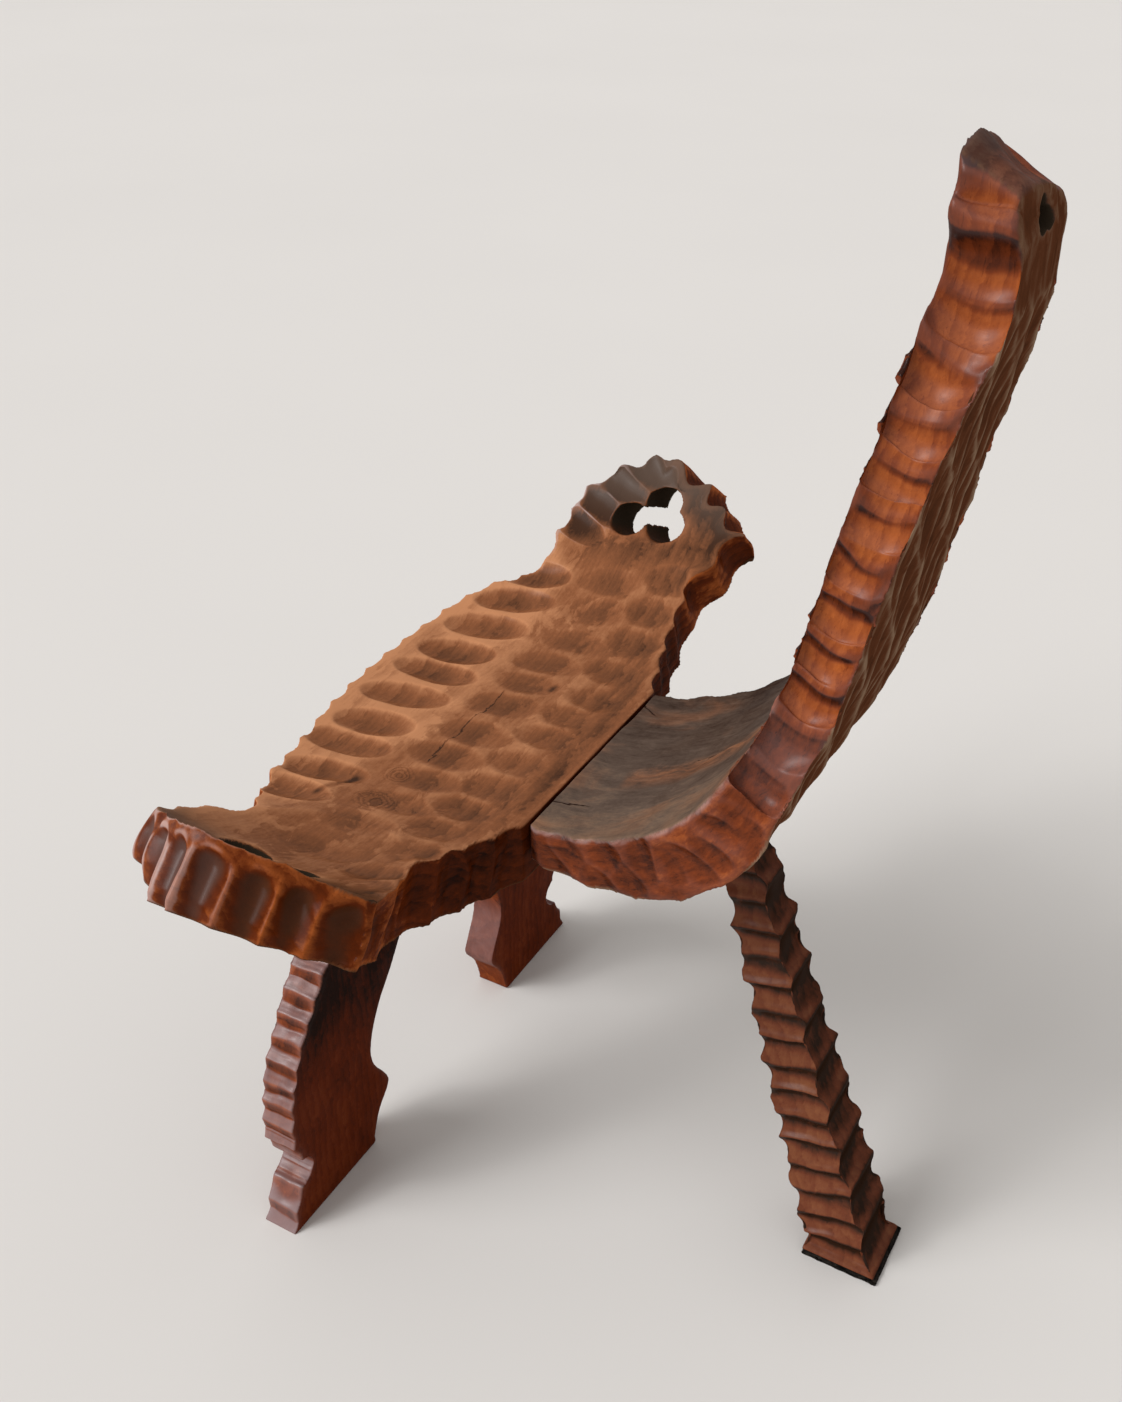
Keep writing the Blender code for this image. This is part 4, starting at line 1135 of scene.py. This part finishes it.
class Walnut(Finish):
    """Waxed walnut: fibres, pores, growth rings and what the carving left on the skin."""

    def __init__(self, name, shift, log_middle):
        super().__init__(name)
        self.along, self.across, self.height = self.split(self.grain_place())
        moved = self.joined(self.along + shift, self.across, self.height)
        self.fibres = self.noise(self.stretched(moved, (16.0, 330.0, 330.0)), 1.0, 4.0, 0.62, 0.5)
        self.hairs = self.noise(self.stretched(moved, (60.0, 1300.0, 1300.0)), 1.0, 2.0, 0.6)
        self.mottling = self.noise(self.stretched(moved, (45.0, 70.0, 70.0)), 1.0, 5.0, 0.65, 1.2)
        self.patches = self.noise(self.stretched(moved, (12.0, 18.0, 18.0)), 1.0, 4.0, 0.6, 0.8)
        self.speckle = self.noise(self.stretched(moved, (260.0, 420.0, 420.0)), 1.0, 4.0, 0.7)
        self.pores = self.hairs.between(0.62, 0.74)
        self.hollow = self.measure("hollow")
        self.ridge = self.measure("ridge")
        self.arris = self.measure("arris")
        self.tilt = self.measure("tilt")
        self.rings = self.growth_rings(log_middle)

    def growth_rings(self, middle):
        """Dark late wood in rings about the middle of the log, between nought and one."""
        first = self.across - middle[0]
        second = self.height - middle[1]
        radius = (first * first + second * second) ** 0.5
        turns = radius / RING_PITCH + self.mottling * 1.6 + self.patches * 3.0
        wave = turns.math("FRACT", turns)
        return wave.between(0.30, 0.92) * (1.0 - wave.between(0.92, 1.0))

    def tone(self, light, middle, dark, share):
        """Dark below nought, middling at nought and light above it."""
        return self.mix(self.mix(middle, light, share), dark, share * -1.0)

    def grain_share(self):
        """What fibres, rings and mottling add to a tone."""
        fine = (self.fibres - 0.5) * 1.1 + (self.speckle - 0.5) * 1.3
        return fine + (self.mottling - 0.5) * 2.4 - self.rings * 0.40 - self.pores * 0.5

    def spot(self, middle, half):
        """One at a place on the plank, falling to nought on an oval round it."""
        first = (self.along - middle[0]) / half[0]
        second = (self.across - middle[1]) / half[1]
        away = (first * first + second * second) ** 0.5 + (self.mottling - 0.5) * 0.8
        return (1.0 - away).between(0.0, 1.0)

    def crack(self, start, end, width, wobble):
        """A wavering line between two places on the plank."""
        run = math.hypot(end[0] - start[0], end[1] - start[1])
        lead = ((end[0] - start[0]) / run, (end[1] - start[1]) / run)
        first = self.along - start[0]
        second = self.across - start[1]
        travel = first * lead[0] + second * lead[1]
        apart = second * lead[0] - first * lead[1] + (self.mottling - 0.5) * wobble
        ends = travel.between(-0.002, 0.004) * (1.0 - travel.between(run - 0.004, run + 0.002))
        return (1.0 - abs(apart) / width).between(0.0, 1.0) * ends

    def knot(self, middle, size):
        """Dark rings about a knot."""
        near = self.spot(middle, (size, size))
        turns = near * 4.0 + self.fibres * 0.8
        wave = turns.math("FRACT", turns)
        return near.between(0.0, 0.25) * wave.between(0.3, 0.9) * 0.38 + near.between(0.75, 1.0) * 0.25

    def relief(self):
        """A normal with the fine relief of fibres and pores."""
        return self.bump(self.fibres * 0.8 + self.mottling * 0.5 - self.pores * 0.5, 0.35, 0.0008)


def seat_finish(colours):
    """Rubbed ochre brown on top, dark wax in the gouges, red-brown edges, with painted shade behind the
    near head's rim and along the rim by the back's joint, and a painted sheen and highlights on the heads.
    """
    wood = Walnut("seat_walnut", 0.0, (-0.09, -0.10))
    top = wood.measure("top")
    under = wood.measure("under")
    gouge = wood.measure("gouge")
    hole = wood.measure("hole")
    grain = wood.grain_share()
    near_tip = wood.along.between(0.205, 0.250)
    far_tip = (wood.along * -1.0).between(0.205, 0.255)
    far_head = (wood.along * -1.0).between(0.160, 0.215)
    at_rear = wood.across.between(-0.040, -0.004)
    at_front = 1.0 - wood.across.between(-0.128, -0.090)
    marks = wood.knot(*SEAT_KNOTS[0]) + wood.knot(*SEAT_KNOTS[1])
    marks = marks + wood.crack(*SEAT_CRACK) + wood.crack(*SEAT_GASH) * 0.9 + wood.spot(*SEAT_STAIN)
    rubbed = wood.ridge * 0.7 + (wood.patches - 0.5) * 1.3 + at_front * 0.40 * (1.0 - far_head)
    rubbed = rubbed + wood.crack(*SEAT_RUBBED) * 0.5
    worn = grain * 0.6 + rubbed - gouge * (0.40 + wood.mottling * 1.3) - marks - at_rear * 0.7 + 0.17
    face = wood.tone(colours.seat_light, colours.seat_middle, colours.seat_dark,
                     worn - near_tip * 0.5 - far_head * 0.85)
    # Painted sheen: the far tip is greyed with the slate colour as a dull reflection
    face = wood.mix(face, colours.slate, far_tip * 0.8)
    # Painted shade: a dark band on the top just behind the near head's rim
    band = wood.along.between(0.196, 0.228) * (0.35 + wood.mottling * 0.7)
    face = wood.mix(face, colours.hole, band * 0.75)
    # Painted highlights: pale lines on the arrises between the far head's front gouges
    face = wood.mix(face, colours.glint, wood.arris.between(0.35, 0.90) * far_head * at_front * 0.6)
    # Painted shade: the rim is darker near the back's joint
    joint_end = wood.across.between(-0.050, -0.015) * (1.0 - abs(wood.along).between(0.120, 0.190))
    near_head = wood.along.between(0.200, 0.225)
    # Lighter arrises and ridges on the rim: rubbed wear, partly a painted highlight
    proud = (wood.arris * 0.6 + wood.ridge * 0.25) * (1.0 - joint_end) * (1.0 - near_head * 0.25)
    rim = wood.tone(colours.edge_light, colours.rim, colours.leg_dark,
                    grain * (0.6 - near_head * 0.25) + proud - near_head * 0.12
                    - wood.hollow * 0.25 - joint_end * 0.4)
    rim = wood.mix(rim, colours.rear, near_head * wood.hollow * 0.65)
    rim = wood.mix(rim, colours.post_dark, near_head * wood.hollow * 0.35)
    # Painted sheen and highlights: the front of the near head takes the sheen colour in its hollows and the
    # glint colour on its arrises
    painted_sheen = near_head * (1.0 - wood.across.between(-0.110, -0.035))
    rim = wood.mix(rim, colours.sheen, painted_sheen * (0.02 + wood.hollow * 0.22) * (1.0 - wood.arris))
    rim = wood.mix(rim, colours.glint, wood.arris.between(0.45, 0.90) * painted_sheen * 0.55)
    colour = wood.mix(rim, face, top)
    colour = wood.mix(colour, colours.under, under)
    colour = wood.mix(colour, colours.hole, hole)
    roughness = 0.45 - wood.arris * 0.08 + under * 0.2 + (wood.fibres - 0.5) * 0.25 - (1.0 - top) * 0.08
    coat = (0.11 + (1.0 - top) * (painted_sheen * 0.16 - 0.04)) * (1.0 - under) * (1.0 - hole)
    return wood.waxed(colour, roughness, wood.relief(), coat)


def back_finish(colours):
    """Orange-brown and purple edges, a greyed seat and a streaked rear face, with painted light and shade
    on the edges' hollows, a painted sheen and a painted highlight along the bend's front arris.
    """
    wood = Walnut("back_walnut", 0.7, (0.03, -0.14))
    under = wood.measure("under")
    slate = wood.measure("slate")
    hole = wood.measure("hole")
    gouge = wood.measure("gouge")
    bend = 1.0 - wood.along.between(0.150, 0.230)
    grain = wood.grain_share() + wood.rings * 0.25 * bend
    low = 1.0 - wood.along.between(0.0, 0.160)
    shaded = (wood.tilt * -1.0).between(0.03, 0.36)
    lit = wood.tilt.between(0.10, 0.45)
    crown_side = wood.along.between(0.340, 0.400)
    cap = wood.tilt.between(0.45, 0.75) * wood.along.between(0.425, 0.440)
    cap = cap * wood.across.between(-0.012, 0.008) * wood.height.between(-0.015, -0.007)
    purple = wood.along.between(0.160, 0.168) * (1.0 - wood.along.between(0.188, 0.198))
    purple = purple * (1.0 - wood.measure("top"))
    # Painted light and shade: off the bend the middles of the edges' hollows are lighter, as lit, and the
    # downward faces under each ridge darker
    share = grain * (0.55 + bend * 0.25) + gouge * (0.55 - bend * 0.85)
    share = share - wood.ridge * (0.2 - bend * 0.3) - shaded * (0.95 - bend * 0.55)
    share = share - low * 0.45 + bend * 0.20 - purple * 0.42 - crown_side * 0.08 - cap * 0.8 - 0.05
    colour = wood.tone(colours.edge_light, colours.edge_middle, colours.edge_dark, share)
    # Painted sheen on upward faces, on the purple hollow and on arrises; painted highlight with rubbed wax
    # along the bend's front arris
    front_arris = wood.arris.between(0.25, 0.90) * wood.height.between(-0.0045, -0.0015) * bend
    colour = wood.mix(colour, colours.sheen, lit * 0.10 + purple * 0.10 + wood.arris * 0.08)
    colour = wood.mix(colour, colours.glint, front_arris * wood.mottling.between(0.30, 0.60) * 0.32)
    lines = (wood.arris * 0.9 + wood.ridge * 0.5) * (0.5 + wood.mottling)
    lines = lines * (1.0 - wood.along.between(0.380, 0.410) * 0.7)
    rear = wood.tone(colours.tan, colours.rear, colours.post_dark,
                     grain * 0.45 + lines - wood.hollow * 0.40)
    colour = wood.mix(colour, rear, under)
    streak = wood.crack(*BACK_STREAK) * wood.mottling.between(0.25, 0.65)
    first, second, third = (wood.crack(*place) for place in BACK_CRACKS)
    cracks = first + second + third
    pale = wood.spot(*BACK_PALE)
    even = wood.grain_share() + wood.rings * 0.36
    greyed = wood.tone(colours.tan, colours.slate, colours.leg_dark,
                       even * 0.5 + (wood.patches - 0.5) * 1.5 + pale * 0.5 + wood.across * 4.5 - 0.16)
    rubbed = wood.tone(colours.seat_light, colours.seat_middle, colours.seat_dark, even * 0.5)
    greyed = wood.mix(greyed, rubbed, streak * 0.6 + wood.patches.between(0.52, 0.70) * 0.35)
    greyed = wood.mix(greyed, colours.leg_dark, cracks)
    colour = wood.mix(colour, greyed, slate)
    colour = wood.mix(colour, colours.hole, hole)
    roughness = 0.42 - wood.arris * 0.06 + (wood.fibres - 0.5) * 0.25 + under * 0.15
    coat = (0.22 - slate * 0.13) * (1.0 - under) * (1.0 - hole)
    return wood.waxed(colour, roughness, wood.relief(), coat)


def front_leg_finish(colours):
    """Dark waxed boards with red patches, darker at the top with painted shade under the seat and a dark
    stain, and worn hollows on the outer edge with painted shade and a painted sheen.
    """
    wood = Walnut("front_leg_walnut", 1.3, (0.30, -0.10))
    edge = wood.measure("edge")
    grain = wood.grain_share()
    # Painted shade: the tops of the boards are darker, as under the seat, together with a dark stain
    high = wood.along.between(0.080, 0.170)
    shaded = (wood.tilt * -1.0).between(0.02, 0.30)
    lit = wood.tilt.between(-0.05, 0.30)
    board = wood.tone(colours.edge_middle, colours.leg_middle, colours.leg_dark,
                      grain * 0.5 + (wood.patches - 0.5) * 1.7 - high * 1.1 + 0.15)
    # The worn edge is darker on faces turned down as painted shade, then takes a painted sheen on upward
    # faces, arrises and the foot
    worn = wood.tone(colours.edge_light, colours.edge_middle, colours.edge_dark,
                     grain * 0.6 + wood.arris * 0.3 - shaded * 0.5 - wood.hollow * 0.2)
    foot = 1.0 - wood.along.between(0.030, 0.060)
    painted_sheen = lit * (0.28 + wood.mottling * 0.6) + wood.arris * 0.2 + foot * 0.25
    worn = wood.mix(worn, colours.sheen, painted_sheen)
    colour = wood.mix(board, worn, edge)
    inner = wood.measure("inner")
    # Inner edge: darker at the top as painted shade under the seat, with a painted sheen low down
    warm = wood.tone(colours.edge_light, colours.edge_middle, colours.edge_dark, grain * 0.6 - high * 0.3)
    painted_sheen = wood.along.between(0.026, 0.040) * (1.0 - wood.along.between(0.070, 0.100))
    warm = wood.mix(warm, colours.sheen, painted_sheen * (0.18 + wood.mottling * 0.6))
    colour = wood.mix(colour, warm, inner * 0.85)
    roughness = 0.42 + (wood.fibres - 0.5) * 0.25
    return wood.waxed(colour, roughness, wood.relief(), 0.10 + edge * 0.22 + wood.arris * 0.1)


def rear_leg_finish(colours):
    """Brown waxed wood, with painted light on faces turned up and painted shade under each ridge and on the
    rear.
    """
    wood = Walnut("rear_leg_walnut", 2.1, (0.30, -0.10))
    rearward = wood.measure("rearward")
    grain = wood.grain_share()
    corner = wood.arris * wood.measure("corner")
    # Painted light and shade: faces turned up are lighter, faces turned down and the rear faces darker
    slope = wood.tilt.between(-0.35, 0.30)
    share = grain * 0.5 + (wood.patches - 0.5) * 0.9 + slope * 1.25 - rearward * 0.8
    colour = wood.tone(colours.seat_middle, colours.post, colours.post_dark, share - corner * 0.7 - 0.98)
    roughness = 0.40 + (wood.fibres - 0.5) * 0.25
    return wood.waxed(colour, roughness, wood.relief(), 0.22 - rearward * 0.14)


class CHAIR_OT_seat(bpy.types.Operator):
    """Carve and finish the seat plank"""

    bl_idname = "chair.seat"
    bl_label = "Seat"

    def execute(self, context):
        scene = context.scene
        piece = carve_seat(scene.chair_carving)
        hand_over(piece, "seat_plank", seat_finish(scene.chair_colours))
        return {"FINISHED"}


class CHAIR_OT_back(bpy.types.Operator):
    """Carve and finish the back plank"""

    bl_idname = "chair.back"
    bl_label = "Back"

    def execute(self, context):
        scene = context.scene
        piece = carve_back(scene.chair_carving)
        hand_over(piece, "back_plank", back_finish(scene.chair_colours))
        return {"FINISHED"}


class CHAIR_OT_front_legs(bpy.types.Operator):
    """Carve and finish the two front legs"""

    bl_idname = "chair.front_legs"
    bl_label = "Front legs"

    def execute(self, context):
        scene = context.scene
        material = front_leg_finish(scene.chair_colours)
        for side, seed in FRONT_LEG_SEEDS.items():
            node = f"front_leg_{side}"
            piece = carve_front_leg(node, f"{node}_carved", seed, scene.chair_carving)
            hand_over(piece, node, material)
        return {"FINISHED"}


class CHAIR_OT_rear_leg(bpy.types.Operator):
    """Carve and finish the rear leg"""

    bl_idname = "chair.rear_leg"
    bl_label = "Rear leg"

    def execute(self, context):
        scene = context.scene
        piece = carve_rear_leg(scene.chair_carving)
        hand_over(piece, "rear_leg", rear_leg_finish(scene.chair_colours))
        return {"FINISHED"}


class CHAIR_OT_foot_pad(bpy.types.Operator):
    """Cut the ragged felt pad under the rear leg"""

    bl_idname = "chair.foot_pad"
    bl_label = "Foot pad"

    def execute(self, context):
        piece = felt_pad()
        hand_over(piece, "rear_foot_pad", felt_finish(context.scene.chair_colours))
        return {"FINISHED"}


class CHAIR_OT_dowels(bpy.types.Operator):
    """Finish the hidden dowels"""

    bl_idname = "chair.dowels"
    bl_label = "Dowels"

    def execute(self, context):
        material = dowel_finish(context.scene.chair_colours)
        for name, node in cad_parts.items():
            if "dowel" in name:
                node.data.materials.clear()
                node.data.materials.append(material)
        return {"FINISHED"}


def felt_pad():
    """A thin pad with a frayed edge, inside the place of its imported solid."""
    low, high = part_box("rear_foot_pad")
    draw = np.random.default_rng(FELT_SEED)
    work = bmesh.new()
    bmesh.ops.create_cube(work, size=1.0)
    bmesh.ops.subdivide_edges(work, edges=work.edges[:], cuts=FELT_CUTS, use_grid_fill=True)
    size = high - low
    middle = 0.5 * (low + high)
    for vert in work.verts:
        side = max(abs(vert.co.x), abs(vert.co.y)) * 2.0
        fray = 1.0 - FELT_FRAY * draw.uniform() * side ** 6
        lift = 1.0 - FELT_SINK * draw.uniform() * (vert.co.z > 0.0)
        vert.co = Vector((middle.x + vert.co.x * size.x * fray, middle.y + vert.co.y * size.y * fray,
                          low.z + (vert.co.z + 0.5) * size.z * lift))
    return placed("rear_foot_felt", mesh_from(work, "rear_foot_felt"))


def felt_finish(colours):
    """Matt black felt with a loose nap."""
    finish = Finish("black_felt")
    place = finish.object_place()
    nap = finish.noise(place, 900.0, 4.0, 0.7)
    tufts = finish.noise(place, 220.0, 3.0, 0.6)
    colour = finish.mix(colours.felt, FELT_NAP, (nap * 0.6 + tufts * 0.6).between(0.5, 0.85))
    normal = finish.bump(nap + tufts, 0.6, 0.0006)
    return finish.waxed(colour, 0.88 + nap * 0.1, normal, 0.0)


def dowel_finish(colours):
    """Raw straight-grained wood."""
    finish = Finish("raw_dowel")
    place = finish.object_place()
    fibres = finish.noise(finish.stretched(place, (700.0, 700.0, 60.0)), 1.0, 3.0, 0.6)
    colour = finish.mix(colours.dowel, DOWEL_FIBRES, fibres.between(0.4, 0.7))
    normal = finish.bump(fibres, 0.3, 0.0004)
    return finish.waxed(colour, 0.65 + fibres * 0.15, normal, 0.0)


def studio_floor(light):
    """A wide plain floor."""
    mesh = bpy.data.meshes.new("studio_floor")
    corners = [(-FAR, -FAR, 0.0), (FAR, -FAR, 0.0), (FAR, FAR, 0.0), (-FAR, FAR, 0.0)]
    mesh.from_pydata(corners, [], [(0, 1, 2, 3)])
    floor = placed("studio_floor", mesh)
    finish = Finish("pale_floor")
    place = finish.object_place()
    cloud = finish.noise(place, 1.5, 2.0)
    colour = finish.mix(light.floor, tuple(0.96 * part for part in light.floor), cloud)
    shader = finish.node("ShaderNodeBsdfPrincipled", None,
                         {"Base Color": colour, "Roughness": 0.75, "Specular IOR Level": 0.2})
    finish.node("ShaderNodeOutputMaterial", None, {"Surface": shader.outputs[0]})
    mesh.materials.append(finish.material)


def studio_world(light):
    """Even fill light from all round."""
    world = bpy.data.worlds.new("studio")
    studio = NodeTree(world)
    fill = studio.node("ShaderNodeBackground", None, {"Color": FILL_COLOUR, "Strength": light.fill})
    studio.node("ShaderNodeOutputWorld", None, {"Surface": fill.outputs[0]})
    bpy.context.scene.world = world


def studio_lamp(name, direction, spread, strength, colour):
    """A wide soft light from one side, even over the whole floor."""
    data = bpy.data.lights.new(name, "SUN")
    data.angle = spread
    data.energy = strength
    data.color = colour
    lamp = placed(name, data)
    lamp.rotation_euler = (-direction).to_track_quat("-Z", "Y").to_euler()


def photo_camera():
    """The camera at the photograph's place and angle."""
    cos_up = math.cos(CAMERA_ELEVATION)
    back = Vector((math.sin(CAMERA_AZIMUTH) * cos_up, -math.cos(CAMERA_AZIMUTH) * cos_up,
                   math.sin(CAMERA_ELEVATION)))
    right = (-back).cross(Vector((0.0, 0.0, 1.0))).normalized()
    up = right.cross(-back)
    turned_right = math.cos(CAMERA_ROLL) * right + math.sin(CAMERA_ROLL) * up
    turned_up = math.cos(CAMERA_ROLL) * up - math.sin(CAMERA_ROLL) * right
    data = bpy.data.cameras.new("photo_camera")
    data.sensor_width = SENSOR_WIDTH
    data.lens = CAMERA_FOCUS_PX / max(PHOTO_WIDTH, PHOTO_HEIGHT) * SENSOR_WIDTH
    camera = placed("photo_camera", data)
    place = Matrix((turned_right, turned_up, back)).transposed().to_4x4()
    place.translation = CAMERA_PLACE
    camera.matrix_world = place
    bpy.context.scene.camera = camera


class CHAIR_OT_stage(bpy.types.Operator):
    """Set up the floor, the light and the camera"""

    bl_idname = "chair.stage"
    bl_label = "Stage"

    def execute(self, context):
        light = context.scene.chair_light
        context.scene.view_settings.view_transform = "Standard"
        studio_floor(light)
        studio_world(light)
        studio_lamp("window_key", WINDOW_SIDE, light.key_spread, light.key, WINDOW_COLOUR)
        studio_lamp("window_glint", WINDOW_SIDE, light.glint_spread, light.glint, (1.0, 1.0, 1.0))
        photo_camera()
        return {"FINISHED"}


class CHAIR_PT_sidebar(bpy.types.Panel):
    """Steps and settings of the carved chair"""

    bl_idname = "CHAIR_PT_sidebar"
    bl_label = "Carved birthing chair"
    bl_space_type = "VIEW_3D"
    bl_region_type = "UI"
    bl_category = "Chair"

    def draw(self, context):
        for group in (context.scene.chair_carving, context.scene.chair_colours, context.scene.chair_light):
            box = self.layout.box()
            for name in group.__annotations__:
                box.prop(group, name)
        for operator in OPERATORS:
            self.layout.operator(operator.bl_idname)


GROUPS = {"chair_carving": CarvingSizes, "chair_colours": WoodColours, "chair_light": StudioLight}
OPERATORS = (CHAIR_OT_seat, CHAIR_OT_back, CHAIR_OT_front_legs, CHAIR_OT_rear_leg, CHAIR_OT_foot_pad,
             CHAIR_OT_dowels, CHAIR_OT_stage)


def register():
    """Add the settings, the steps and the panel."""
    for name, group in GROUPS.items():
        bpy.utils.register_class(group)
        setattr(bpy.types.Scene, name, bpy.props.PointerProperty(type=group))
    for operator in OPERATORS:
        bpy.utils.register_class(operator)
    bpy.utils.register_class(CHAIR_PT_sidebar)


def unregister():
    """Take the settings, the steps and the panel away."""
    bpy.utils.unregister_class(CHAIR_PT_sidebar)
    for operator in reversed(OPERATORS):
        bpy.utils.unregister_class(operator)
    for name, group in GROUPS.items():
        delattr(bpy.types.Scene, name)
        bpy.utils.unregister_class(group)


def main():
    """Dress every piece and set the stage."""
    register()
    bpy.ops.chair.seat()
    bpy.ops.chair.back()
    bpy.ops.chair.front_legs()
    bpy.ops.chair.rear_leg()
    bpy.ops.chair.foot_pad()
    bpy.ops.chair.dowels()
    bpy.ops.chair.stage()


if __name__ == "__main__":
    main()
